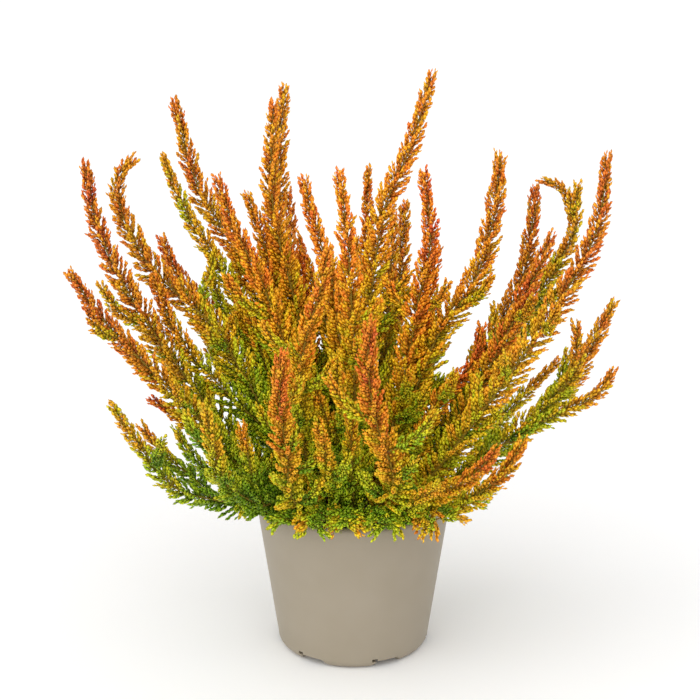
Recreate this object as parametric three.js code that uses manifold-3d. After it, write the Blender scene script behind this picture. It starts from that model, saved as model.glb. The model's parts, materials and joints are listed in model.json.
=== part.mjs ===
// A potted heather: leafy spikes and low sprays that stand in the soil of a round nursery pot.
// Millimetres, +Z up. The origin is on the pot's axis, in the plane its feet stand on.
import * as THREE from 'three';
import * as BufferGeometryUtils from 'three/addons/utils/BufferGeometryUtils.js';
import Module from 'manifold-3d';

// Pot wall and rim
const RIM_RADIUS = 60;
const POT_HEIGHT = 98;
const RIM_ROUNDING_HEIGHT = 3.4;
const RIM_ROUNDING_WIDTH = 2.9;
const WALL = 1.4;
const WALL_FOOT_RADIUS = 47;
const WALL_FOOT_HEIGHT = 6;
const ROUNDING_STEPS = 3;
const POT_SIDES = 48;

// Pot floor, feet and drains
const FOOT_RADIUS = 40.8;
const FOOT_RING_WIDTH = 2.6;
const FLOOR_TOP = 7.6;
const FLOOR_UNDERSIDE = 6;
const FEET = 6;
const FOOT_ANGLE = 33;
const FIRST_FOOT_AZIMUTH = -93;
const ARCH_HEIGHT = 4.8;
const ARCH_SHOULDER_SHARE = 0.62;
const ARCH_TOE = 0.4;
const DRAIN_HOLE_RADIUS = 4;
const DRAIN_HOLE_PITCH_RADIUS = 31;
const DRAIN_SLOT_WIDTH = 5;
const DRAIN_SLOT_HEIGHT = 2.4;
const DRAIN_SLOT_PAST_FOOT = 3;
const CUT_MARGIN = 2;

// Soil
const SOIL_TOP = 88;
const SOIL_GAP = 0.3;
const STEM_HOLE_DEPTH = 10;
const STEM_HOLE_RADIUS = 2;
const STEM_HOLE_SIDES = 6;

// Where the stems leave the soil: the line of a stem's last stretch, drawn in towards the crown.
const STEM_RADIUS = 1.25;
const STEM_SPREAD_AT_SOIL = 43;
const STEM_SPACING_AT_SOIL = 7.6;
const ROOT_ROUNDS = 300;
const ROOT_AIM_SLACK = 60;
const LOW_ROOT_SHARE = 0.8;
const TALL_ROOT_SHARE = 0.4;
const TALLEST_RISE = 260;

// How the stems are bent clear of each other and of the pot
const PATH_STEPS = 16;
const BEND_START = 1.5;
const BEND_ROUNDS = 80;
const BEND_EASE = 0.3;
const SMOOTHING_PASSES = 2;
const ROOM_PER_RADIUS = 1.25;
const ROOM_AT_SOIL = 6;
const ROOM_GAINED_PER_RISE = 0.05;
const RIM_CLEARANCE = 6.5;
const RIM_LANE = 7;
const RIM_LANE_SLOPE = 1.2;

// Foliage: its radius grows from the tip down, and so does the distance from one pair of shoots to the next.
const TIP_RADIUS = 2.4;
const FULL_RADIUS = 12.4;
const RADIUS_GROWTH_LENGTH = 105;
const TIP_SHOOT_STEP = 4.6;
const LOW_SHOOT_STEP = 8.3;
const SHOOT_STEP_GROWTH_LENGTH = 90;
const SHOOT_LEAN = 0.66;
const SHOOT_TWIST = 0.12;
const STEM_TWIST = 0.7;
const LEAST_SHOOT_SHARE = 0.9;
const SHOOT_VARIATION = 0.25;
const RIPE_LENGTH = 95;
const TURNING_LENGTH = 70;
const LOW_HOLLOW_SHARE = 0.2;
const RIPE_HOLLOW_SHARE = 0.5;
const BARE_ABOVE_SOIL = 14;
const BARE_SHARE = 0.2;
const BARE_ABOVE_FORK = 9;
const FORK_RADIUS = 0.8;
const LEAF_GAP = 1;
const DRAW_IN = 0.86;
const CORNERS = 4;

const COLOURS = { orange: 0xc8741c, yellow: 0xb5b81a, green: 0x5f8a1e, pot: 0xa89e8b, soil: 0x3a2c22 };

// The points that each stem passes above the soil, the last being its tip. A branch names the stem that
// carries it and how far up that stem it leaves. A root is given where a stem would else start in another.
const STEMS = [
  { name: 'spike_left_tall', path: [[-130, -3, 219], [-152, 2, 267], [-158, 5, 306]] },
  {
    name: 'spike_left_hooked', girth: 1.1,
    path: [[-84, 8, 200], [-123, 15, 239], [-141, 22, 276], [-141, 24, 289], [-130, 25, 303]],
  },
  {
    name: 'branch_left_hooked', on: 'spike_left_hooked', from: 0.19,
    path: [[-76, -3, 163], [-106, 0, 200], [-120, 2, 238]],
  },
  { name: 'spike_left_low', path: [[-110, -42, 182], [-143, -52, 224], [-161, -60, 256]] },
  {
    name: 'branch_left_low', on: 'spike_left_low', from: 0.2, girth: 0.8,
    path: [[-83, -30, 139], [-103, -33, 158], [-121, -35, 172]],
  },
  {
    name: 'spike_left_yellow', tint: 'yellow', girth: 0.8,
    path: [[-78, 36, 224], [-103, 42, 267], [-117, 45, 302]],
  },
  { name: 'spike_left_inner', path: [[-68, 48, 232], [-95, 56, 276], [-110, 60, 333]] },
  { name: 'spike_left_short', path: [[-54, 18, 223], [-71, 26, 257], [-83, 30, 291]] },
  { name: 'spike_left_leaning', path: [[-89, 44, 199], [-110, 54, 224], [-121, 60, 246]] },
  { name: 'spike_middle_left', path: [[-43, 42, 206], [-57, 55, 248], [-67, 60, 274]] },
  { name: 'spike_middle_tall', path: [[-46, 50, 236], [-51, 62, 281], [-49, 70, 330]] },
  {
    name: 'branch_middle_tall', on: 'spike_middle_tall', from: 0.3,
    path: [[-47, 70, 250], [-47, 82, 290], [-43, 92, 336]],
  },
  { name: 'spike_middle_thin', girth: 0.75, path: [[-40, 80, 208], [-40, 98, 240], [-42, 106, 267]] },
  { name: 'spike_middle_inner', path: [[-14, 35, 227], [-24, 45, 257], [-31, 50, 286]] },
  {
    name: 'branch_middle_inner', on: 'spike_middle_inner', from: 0.4, girth: 0.75,
    path: [[-23, 58, 208], [-30, 72, 226], [-36, 82, 243]],
  },
  { name: 'spike_middle_front', path: [[-1, -12, 219], [-4, -8, 266], [-9, -5, 302]] },
  { name: 'spike_middle_back', girth: 0.75, path: [[8, 66, 211], [9, 76, 247], [9, 86, 286]] },
  { name: 'spike_tallest', path: [[13, 46, 227], [19, 50, 265], [34, 54, 301], [49, 60, 350]] },
  { name: 'spike_middle_right', path: [[29, 85, 197], [32, 98, 230], [34, 107, 258]] },
  {
    name: 'branch_middle_right', on: 'spike_middle_right', from: 0.25, girth: 0.85,
    path: [[22, 70, 201], [25, 85, 230], [26, 92, 254]],
  },
  { name: 'spike_right_inner', path: [[33, 20, 174], [40, 28, 213], [47, 32, 250], [42, 35, 294]] },
  {
    name: 'spike_right_thick', girth: 1.15,
    path: [[53, 26, 193], [75, 33, 225], [86, 38, 265], [89, 40, 303]],
  },
  { name: 'spike_right_leaning', path: [[89, 46, 185], [106, 58, 218], [112, 64, 252], [114, 70, 277]] },
  {
    name: 'spike_right_nodding', tint: 'yellow', girth: 0.85,
    path: [[101, 40, 190], [122, 50, 220], [136, 56, 247], [139, 60, 281]],
  },
  {
    name: 'branch_right_nodding', on: 'spike_right_nodding', from: 0.88, girth: 0.75,
    path: [[131, 60, 274], [114, 60, 283]],
  },
  {
    name: 'spike_right_tall', root: [31, -15],
    path: [[86, -38, 179], [122, -25, 230], [142, -15, 268], [148, -5, 312]],
  },
  { name: 'spike_right_behind', path: [[92, 12, 193], [111, 20, 233], [121, 25, 257]] },
  {
    name: 'spike_right_low', root: [38, -6],
    path: [[97, -18, 142], [132, 5, 166], [148, 20, 190], [162, 35, 212]],
  },
  {
    name: 'branch_right_low_a', on: 'spike_right_low', from: 0.5,
    path: [[130, -22, 181], [132, -26, 199], [130, -28, 217]],
  },
  {
    name: 'branch_right_low_b', on: 'spike_right_low', from: 0.42, girth: 0.9,
    path: [[124, -22, 158], [144, -20, 168], [157, -15, 184]],
  },
  {
    name: 'branch_right_low_c', on: 'spike_right_low', from: 0.25, girth: 0.8,
    path: [[94, 15, 143], [113, 30, 158], [130, 40, 172]],
  },
  { name: 'spike_right_short', path: [[53, 8, 155], [74, 20, 175], [79, 25, 199]] },
  {
    name: 'spike_centre_right', tint: 'green', girth: 0.9,
    path: [[39, 50, 164], [50, 65, 190], [55, 75, 209]],
  },
  {
    name: 'spike_front_left', root: [-26, -38], girth: 1.2,
    path: [[-36, -70, 124], [-38, -88, 158], [-41, -100, 192], [-39, -105, 222]],
  },
  { name: 'spike_front_inner', path: [[-32, -48, 175], [-28, -58, 211], [-18, -66, 249], [-14, -70, 273]] },
  {
    name: 'spike_front_right', root: [13, -34], girth: 1.2,
    path: [[23, -76, 136], [13, -92, 175], [8, -100, 210], [9, -105, 240]],
  },
  { name: 'spike_front_green', tint: 'yellow', path: [[-10, -40, 144], [-18, -46, 168], [-28, -48, 191]] },
  { name: 'spike_front_middle_a', tint: 'yellow', path: [[-3, -45, 155], [-8, -52, 182], [-11, -55, 207]] },
  { name: 'spike_front_middle_b', tint: 'yellow', path: [[-1, -60, 142], [-1, -70, 164], [-2, -75, 184]] },
  { name: 'spike_front_middle_c', tint: 'yellow', path: [[-11, -62, 127], [-16, -82, 153], [-20, -95, 179]] },
  {
    name: 'spray_front_left', tint: 'yellow', girth: 1.15,
    path: [[-74, -80, 136], [-79, -96, 167], [-83, -100, 191]],
  },
  {
    name: 'branch_front_left', on: 'spray_front_left', from: 0.22,
    path: [[-54, -56, 115], [-60, -62, 139], [-65, -64, 165]],
  },
  {
    name: 'spray_left_long', tint: 'yellow', girth: 0.9,
    path: [[-77, -36, 106], [-104, -44, 117], [-123, -46, 141], [-142, -45, 172]],
  },
  {
    name: 'branch_left_long', on: 'spray_left_long', from: 0.35, girth: 0.9,
    path: [[-95, -28, 117], [-114, -22, 131], [-129, -18, 150]],
  },
  {
    name: 'spray_left_green', tint: 'green', girth: 0.9,
    path: [[-86, 6, 106], [-101, 12, 118], [-111, 14, 137]],
  },
  { name: 'spray_back_left', tint: 'green', path: [[-63, 28, 188], [-81, 36, 208], [-89, 40, 228]] },
  {
    name: 'branch_back_left', on: 'spray_back_left', from: 0.3,
    path: [[-59, 24, 186], [-67, 28, 201], [-72, 32, 217]],
  },
  {
    name: 'spray_right_front', root: [35, -25], girth: 1.15,
    path: [[68, -48, 112], [89, -54, 133], [100, -50, 152]],
  },
  {
    name: 'spray_right_lower', root: [40, -16], tint: 'green', girth: 1.3,
    path: [[61, -30, 107], [80, -34, 104]],
  },
  {
    name: 'spray_right_upper', root: [22, -27], girth: 1.1,
    path: [[51, -58, 121], [67, -72, 135], [82, -82, 157]],
  },
  {
    name: 'spray_front_right', root: [20, -38], tint: 'yellow', girth: 1.1,
    path: [[36, -72, 120], [49, -92, 139]],
  },
  { name: 'shoot_over_rim_right', root: [28, -33], girth: 1.2, path: [[46, -54, 107], [47, -62, 86]] },
  { name: 'shoot_over_rim_a', tint: 'green', girth: 1.5, path: [[-41, -44, 106], [-50, -50, 88]] },
  { name: 'shoot_over_rim_b', tint: 'green', girth: 1.5, path: [[-26, -57, 108], [-32, -67, 89]] },
  { name: 'shoot_over_rim_c', tint: 'yellow', girth: 1.4, path: [[-11, -59, 108], [-14, -69, 92]] },
  { name: 'shoot_over_rim_d', tint: 'green', girth: 1.4, path: [[6, -59, 108], [8, -69, 95]] },
  { name: 'shoot_over_rim_e', tint: 'green', girth: 1.5, path: [[23, -58, 108], [27, -67, 89]] },
  { name: 'shoot_over_rim_f', tint: 'green', girth: 1.5, path: [[-58, -24, 107], [-76, -26, 92]] },
];

// The stems at the back fill the rest of the clump in three tiers. Their azimuth and reach follow irrational
// steps, so no two line up and no direction is left bare.
const BACK_STEMS = 12;
const BACK_AZIMUTH_START = 38;
const BACK_AZIMUTH_SPAN = 112;
const GOLDEN_STEP = 0.618;
const BACK_REACH_STEP = 0.755;
const BACK_ELBOW_REACH = 0.68;
const BACK_ELBOW_RISE = 0.42;
const BACK_ELBOW_LEAST_RISE = 19;
const BACK_TIERS = [
  { tint: 'orange', reach: 66, spread: 22, rise: 158, fall: 18, girth: 1 },
  { tint: 'yellow', reach: 92, spread: 20, rise: 112, fall: 30, girth: 1 },
  { tint: 'green', reach: 86, spread: 12, rise: 42, fall: 22, girth: 1.15 },
];

const wasm = await Module();
wasm.setup();

const QUARTER_TURN = Math.PI / 2;
const degrees = THREE.MathUtils.degToRad;
const fraction = (value) => value - Math.floor(value);

// Turns a closed geometry into a solid that can be joined and cut, with its faces pointing out.
function solidOf(geometry) {
  const bare = geometry.clone();
  for (const name of Object.keys(bare.attributes)) {
    if (name !== 'position') bare.deleteAttribute(name);
  }
  const merged = BufferGeometryUtils.mergeVertices(bare, 1e-4);
  const vertProperties = new Float32Array(merged.attributes.position.array);
  const triVerts = new Uint32Array(merged.index.array);
  const solid = new wasm.Manifold(new wasm.Mesh({ numProp: 3, vertProperties, triVerts }));
  if (solid.volume() > 0) return solid;
  for (let i = 0; i < triVerts.length; i += 3) {
    [triVerts[i], triVerts[i + 1]] = [triVerts[i + 1], triVerts[i]];
  }
  return new wasm.Manifold(new wasm.Mesh({ numProp: 3, vertProperties, triVerts }));
}

// Keeps the largest body of a solid, without loose scraps and sealed hollows, as a geometry.
function geometryOf(solid) {
  const bodies = solid.decompose();
  bodies.sort((a, b) => b.volume() - a.volume());
  const mesh = bodies[0].getMesh();
  const geometry = new THREE.BufferGeometry();
  geometry.setAttribute('position', new THREE.BufferAttribute(new Float32Array(mesh.vertProperties), 3));
  geometry.setIndex([...mesh.triVerts]);
  geometry.computeVertexNormals();
  return geometry;
}

function meshOf(name, geometry, color, roughness) {
  const mesh = new THREE.Mesh(geometry, new THREE.MeshStandardMaterial({ color, roughness, metalness: 0 }));
  mesh.name = name;
  return mesh;
}

// Spins a closed outline of [radius, height] points about the pot's axis.
function turned(outline) {
  const points = outline.map(([radius, height]) => new THREE.Vector2(radius, height));
  points.push(points[0].clone());
  return solidOf(new THREE.LatheGeometry(points, POT_SIDES).rotateX(QUARTER_TURN));
}

function wallRadius(height) {
  const share = (height - WALL_FOOT_HEIGHT) / (POT_HEIGHT - RIM_ROUNDING_HEIGHT - WALL_FOOT_HEIGHT);
  return WALL_FOOT_RADIUS + (RIM_RADIUS - WALL_FOOT_RADIUS) * share;
}

// A prism that looks outwards from the pot's axis at a given azimuth, its outline drawn across and up.
function radialPrism(outline, azimuth, from, to) {
  const options = { depth: to - from, bevelEnabled: false, curveSegments: 4 };
  const geometry = new THREE.ExtrudeGeometry(outline, options);
  geometry.rotateX(QUARTER_TURN);
  geometry.rotateZ(QUARTER_TURN);
  geometry.translate(from, 0, 0);
  geometry.rotateZ(degrees(azimuth));
  return solidOf(geometry);
}

// The arch between two feet: flat at the top, with sides that curve down like an S.
function archOutline() {
  const halfWidth = (FOOT_RADIUS * degrees(360 / FEET - FOOT_ANGLE)) / 2;
  const shoulder = halfWidth * ARCH_SHOULDER_SHARE;
  const middle = (halfWidth + shoulder) / 2;
  const shape = new THREE.Shape();
  shape.moveTo(-halfWidth, -CUT_MARGIN);
  shape.lineTo(halfWidth, -CUT_MARGIN);
  shape.lineTo(halfWidth, 0);
  shape.bezierCurveTo(middle, ARCH_TOE, middle, ARCH_HEIGHT, shoulder, ARCH_HEIGHT);
  shape.lineTo(-shoulder, ARCH_HEIGHT);
  shape.bezierCurveTo(-middle, ARCH_HEIGHT, -middle, ARCH_TOE, -halfWidth, 0);
  return shape;
}

// The small slot that lets water out above an arch, beside each foot.
function slotOutline() {
  const half = DRAIN_SLOT_WIDTH / 2;
  const top = ARCH_HEIGHT + DRAIN_SLOT_HEIGHT;
  const shape = new THREE.Shape();
  shape.moveTo(-half, ARCH_HEIGHT - CUT_MARGIN / 2);
  shape.lineTo(half, ARCH_HEIGHT - CUT_MARGIN / 2);
  shape.lineTo(half, top);
  shape.lineTo(-half, top);
  return shape;
}

function drainHole(azimuth) {
  const depth = 2 * CUT_MARGIN + FLOOR_TOP - FLOOR_UNDERSIDE;
  const hole = new THREE.CylinderGeometry(DRAIN_HOLE_RADIUS, DRAIN_HOLE_RADIUS, depth, 8);
  hole.rotateX(QUARTER_TURN);
  hole.translate(DRAIN_HOLE_PITCH_RADIUS, 0, (FLOOR_TOP + FLOOR_UNDERSIDE) / 2);
  hole.rotateZ(degrees(azimuth));
  return solidOf(hole);
}

// The outline of the pot from its foot ring up the flared foot, the wall and the rim, and down inside.
function potOutline() {
  const shoulder = POT_HEIGHT - RIM_ROUNDING_HEIGHT;
  const outline = [[FOOT_RADIUS - FOOT_RING_WIDTH, 0], [FOOT_RADIUS, 0]];
  for (let step = 1; step <= ROUNDING_STEPS; step += 1) {
    const turn = (QUARTER_TURN * step) / ROUNDING_STEPS;
    const radius = FOOT_RADIUS + (WALL_FOOT_RADIUS - FOOT_RADIUS) * Math.sin(turn);
    outline.push([radius, WALL_FOOT_HEIGHT * (1 - Math.cos(turn))]);
  }
  for (let step = 0; step <= ROUNDING_STEPS; step += 1) {
    const turn = (QUARTER_TURN * step) / ROUNDING_STEPS;
    const radius = RIM_RADIUS - RIM_ROUNDING_WIDTH * (1 - Math.cos(turn));
    outline.push([radius, shoulder + RIM_ROUNDING_HEIGHT * Math.sin(turn)]);
  }
  outline.push([RIM_RADIUS - RIM_ROUNDING_WIDTH - WALL, POT_HEIGHT]);
  outline.push([RIM_RADIUS - WALL, shoulder - WALL / 2]);
  outline.push([wallRadius(FLOOR_TOP) - WALL, FLOOR_TOP]);
  outline.push([0, FLOOR_TOP]);
  outline.push([0, FLOOR_UNDERSIDE]);
  outline.push([FOOT_RADIUS - FOOT_RING_WIDTH, FLOOR_UNDERSIDE]);
  return outline;
}

// The pot: a thin tapering wall with a rounded rim, a raised floor, and a foot ring with arches cut in it.
function makePot() {
  let pot = turned(potOutline());
  for (let foot = 0; foot < FEET; foot += 1) {
    const footAzimuth = FIRST_FOOT_AZIMUTH + (foot * 360) / FEET;
    const archAzimuth = footAzimuth + 180 / FEET;
    const slotAzimuth = footAzimuth + FOOT_ANGLE / 2 + DRAIN_SLOT_PAST_FOOT;
    pot = pot.subtract(radialPrism(archOutline(), archAzimuth, DRAIN_HOLE_PITCH_RADIUS, RIM_RADIUS));
    pot = pot.subtract(radialPrism(slotOutline(), slotAzimuth, FOOT_RADIUS + WALL, RIM_RADIUS));
    pot = pot.subtract(drainHole(archAzimuth));
  }
  return meshOf('pot', geometryOf(pot), COLOURS.pot, 0.5);
}

// The soil fills the pot to its top level, and every stem stands in a plain hole in it.
function makeSoil(roots) {
  const bottom = FLOOR_TOP + SOIL_GAP;
  const inside = WALL + SOIL_GAP;
  let soil = turned([
    [0, bottom],
    [wallRadius(bottom) - inside, bottom],
    [wallRadius(SOIL_TOP) - inside, SOIL_TOP],
    [0, SOIL_TOP],
  ]);
  for (const root of roots) {
    const hole = new THREE.CylinderGeometry(
      STEM_HOLE_RADIUS,
      STEM_HOLE_RADIUS,
      2 * STEM_HOLE_DEPTH,
      STEM_HOLE_SIDES,
    );
    hole.rotateX(QUARTER_TURN).translate(root.x, root.y, SOIL_TOP);
    soil = soil.subtract(solidOf(hole));
  }
  return meshOf('soil', geometryOf(soil), COLOURS.soil, 0.95);
}

function around(reach, azimuth, rise) {
  return [reach * Math.cos(azimuth), reach * Math.sin(azimuth), SOIL_TOP + rise];
}

function backStems() {
  const stems = [];
  for (let index = 0; index < BACK_STEMS; index += 1) {
    const { tint, girth, ...tier } = BACK_TIERS[index % BACK_TIERS.length];
    const azimuth = degrees(BACK_AZIMUTH_START + BACK_AZIMUTH_SPAN * fraction(index * GOLDEN_STEP));
    const share = fraction(index * BACK_REACH_STEP);
    const reach = tier.reach + tier.spread * share;
    const rise = tier.rise - tier.fall * share;
    const elbowRise = Math.max(BACK_ELBOW_LEAST_RISE, rise * BACK_ELBOW_RISE);
    const path = [around(reach * BACK_ELBOW_REACH, azimuth, elbowRise), around(reach, azimuth, rise)];
    stems.push({ name: `spike_back_${index + 1}`, tint, girth, path });
  }
  return stems;
}

// Where a stem would leave the soil by itself: a tall one is drawn in towards the crown more than a low one.
function rootOf({ path, root }) {
  if (root) return new THREE.Vector2(...root);
  const low = path[0];
  const tip = path[path.length - 1];
  const back = (low[2] - SOIL_TOP) / (tip[2] - low[2] + ROOT_AIM_SLACK);
  const aim = new THREE.Vector2(low[0] + (low[0] - tip[0]) * back, low[1] + (low[1] - tip[1]) * back);
  const tallness = (tip[2] - SOIL_TOP) / TALLEST_RISE;
  aim.multiplyScalar(LOW_ROOT_SHARE + (TALL_ROOT_SHARE - LOW_ROOT_SHARE) * tallness);
  return aim.clampLength(0, STEM_SPREAD_AT_SOIL);
}

// The roots of all stems, eased apart until no two stand too close.
function plantRoots(stems) {
  const roots = stems.map(rootOf);
  for (let round = 0; round < ROOT_ROUNDS; round += 1) {
    for (let a = 0; a < roots.length; a += 1) {
      for (let b = a + 1; b < roots.length; b += 1) {
        const between = roots[b].clone().sub(roots[a]);
        const shortfall = STEM_SPACING_AT_SOIL - between.length();
        if (shortfall <= 0) continue;
        between.setLength(shortfall / 2);
        roots[a].sub(between);
        roots[b].add(between);
      }
    }
    roots.forEach((root) => root.clampLength(0, STEM_SPREAD_AT_SOIL));
  }
  return roots;
}

function foliageRadius(fromTip, girth) {
  const grown = 1 - Math.exp(-fromTip / RADIUS_GROWTH_LENGTH);
  return (TIP_RADIUS + (FULL_RADIUS - TIP_RADIUS) * grown) * girth;
}

// The axis of one stem: an easy curve from its root or fork through its points, in even steps.
function axisOf(stem, order, root, parent) {
  const forkStep = parent ? Math.round(stem.from * PATH_STEPS) : 0;
  const start = parent
    ? parent.points[forkStep].clone()
    : new THREE.Vector3(root.x, root.y, SOIL_TOP + BEND_START);
  const through = [start, ...stem.path.map((point) => new THREE.Vector3(...point))];
  const curve = new THREE.CatmullRomCurve3(through, false, 'centripetal');
  const points = curve.getSpacedPoints(PATH_STEPS);
  const length = curve.getLength();
  const girth = stem.girth ?? 1;
  const room = points.map((point, step) => Math.min(
    ROOM_PER_RADIUS * foliageRadius(length * (1 - step / PATH_STEPS), girth),
    ROOM_AT_SOIL + ROOM_GAINED_PER_RISE * Math.max(0, point.z - SOIL_TOP),
  ));
  const bare = parent ? BARE_ABOVE_FORK : Math.min(BARE_ABOVE_SOIL, length * BARE_SHARE);
  const node = stem.on ?? stem.name;
  const tint = stem.tint ?? 'orange';
  return { name: stem.name, node, order, parent, root, forkStep, points, room, bare, girth, tint };
}

// How a point of a stem has to move to clear the pot: up over the rim from inside, outwards from the wall.
function pushFromPot(point) {
  const push = new THREE.Vector3();
  const radius = Math.hypot(point.x, point.y);
  if (radius < RIM_RADIUS + BEND_START) {
    const inwards = Math.max(0, RIM_RADIUS - RIM_LANE - radius);
    const lowest = Math.max(SOIL_TOP + BEND_START, POT_HEIGHT + RIM_CLEARANCE - RIM_LANE_SLOPE * inwards);
    push.z = Math.max(0, lowest - point.z);
    return push;
  }
  const above = Math.max(0, point.z - POT_HEIGHT);
  const shortfall = RIM_CLEARANCE - Math.hypot(above, radius - RIM_RADIUS);
  if (shortfall > 0) push.set(point.x, point.y, 0).setLength(shortfall);
  return push;
}

// Adds to the shifts of two stems what parts each two of their points that come too near.
function partStems(one, other, oneShifts, otherShifts) {
  for (let i = 1; i <= PATH_STEPS; i += 1) {
    for (let k = 1; k <= PATH_STEPS; k += 1) {
      const between = other.points[k].clone().sub(one.points[i]);
      const shortfall = (one.room[i] + other.room[k]) / 2 - between.length();
      if (shortfall <= 0) continue;
      between.setLength(shortfall * BEND_EASE);
      oneShifts[i].addScaledVector(between, -Math.min(1, i / 2));
      otherShifts[k].addScaledVector(between, Math.min(1, k / 2));
    }
  }
}

// Moves a stem by its shifts, which are eased along it so that it stays one smooth curve from its root.
function bendStem(axis, shifts) {
  for (let i = 1; i <= PATH_STEPS; i += 1) {
    const half = axis.points[i].clone().lerp(axis.points[i - 1], 0.5);
    shifts[i].add(pushFromPot(axis.points[i])).addScaledVector(pushFromPot(half), 0.5);
    shifts[i - 1].addScaledVector(pushFromPot(half), 0.5);
  }
  shifts[0].set(0, 0, 0);
  for (let pass = 0; pass < SMOOTHING_PASSES; pass += 1) {
    const before = shifts.map((vector) => vector.clone());
    for (let i = 1; i <= PATH_STEPS; i += 1) {
      const next = before[Math.min(i + 1, PATH_STEPS)];
      const neighbours = before[i - 1].clone().add(next).multiplyScalar(0.5);
      shifts[i].lerp(neighbours, 0.5);
    }
  }
  axis.points.forEach((point, i) => point.add(shifts[i]));
}

// Bends the stems clear of each other and of the pot. A branch moves with the stem that carries it.
function bendClear(axes) {
  for (let round = 0; round < BEND_ROUNDS; round += 1) {
    for (const axis of axes) {
      if (axis.parent) axis.points[0].copy(axis.parent.points[axis.forkStep]);
    }
    const shifts = axes.map((axis) => axis.points.map(() => new THREE.Vector3()));
    for (let a = 0; a < axes.length; a += 1) {
      for (let b = a + 1; b < axes.length; b += 1) {
        if (axes[a].node !== axes[b].node) partStems(axes[a], axes[b], shifts[a], shifts[b]);
      }
    }
    axes.forEach((axis, a) => bendStem(axis, shifts[a]));
  }
}

function distanceTo(axes, point) {
  let nearest = Infinity;
  const stretch = new THREE.Line3();
  const foot = new THREE.Vector3();
  for (const axis of axes) {
    for (let i = 1; i < axis.points.length; i += 1) {
      stretch.set(axis.points[i - 1], axis.points[i]);
      stretch.closestPointToPoint(point, true, foot);
      nearest = Math.min(nearest, foot.distanceTo(point));
    }
  }
  return nearest;
}

// True where a leaf point is nearer to its own stem than to any other, and clear of the pot and the soil.
function hasRoom(point, own, others) {
  const radius = Math.hypot(point.x, point.y);
  const overRim = radius > RIM_RADIUS - RIM_LANE - LEAF_GAP && radius < RIM_RADIUS + 2 * STEM_RADIUS;
  if (overRim && point.z < POT_HEIGHT + LEAF_GAP) return false;
  if (radius < RIM_RADIUS && point.z < SOIL_TOP + LEAF_GAP) return false;
  return distanceTo(own, point) + LEAF_GAP < distanceTo(others, point);
}

// The square foot of a stem, from the bottom of its hole to just above the soil.
function footRings(root) {
  return [SOIL_TOP - STEM_HOLE_DEPTH + SOIL_GAP, SOIL_TOP + 2 * SOIL_GAP].map((height) => {
    const ring = [];
    for (let corner = 0; corner < CORNERS; corner += 1) {
      const angle = corner * QUARTER_TURN;
      const x = root.x - STEM_RADIUS * Math.sin(angle);
      const y = root.y + STEM_RADIUS * Math.cos(angle);
      ring.push(new THREE.Vector3(x, y, height));
    }
    return ring;
  });
}

// Closes rings of four corners into a skin that ends in a point. Its diagonals join the hollows, so that
// each shoot stands out as a point of its own.
function closedSkin(rings, firstLeafyRing, tip) {
  const at = (ring, corner) => ring * CORNERS + (corner % CORNERS);
  const last = rings.length - 1;
  const indices = [0, 2, 1, 0, 3, 2];
  for (let corner = 0; corner < CORNERS; corner += 1) {
    for (let ring = 0; ring < last; ring += 1) {
      const [a, b] = [at(ring, corner), at(ring, corner + 1)];
      const [c, d] = [at(ring + 1, corner), at(ring + 1, corner + 1)];
      const startsAtShoot = (corner + ring + firstLeafyRing) % 2 === 0;
      if (startsAtShoot) indices.push(a, b, c, b, d, c);
      else indices.push(a, b, d, a, d, c);
    }
    indices.push(at(last, corner), at(last, corner + 1), rings.length * CORNERS);
  }
  const geometry = new THREE.BufferGeometry().setFromPoints([...rings.flat(), tip]);
  geometry.setIndex(indices);
  return geometry;
}

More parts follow.
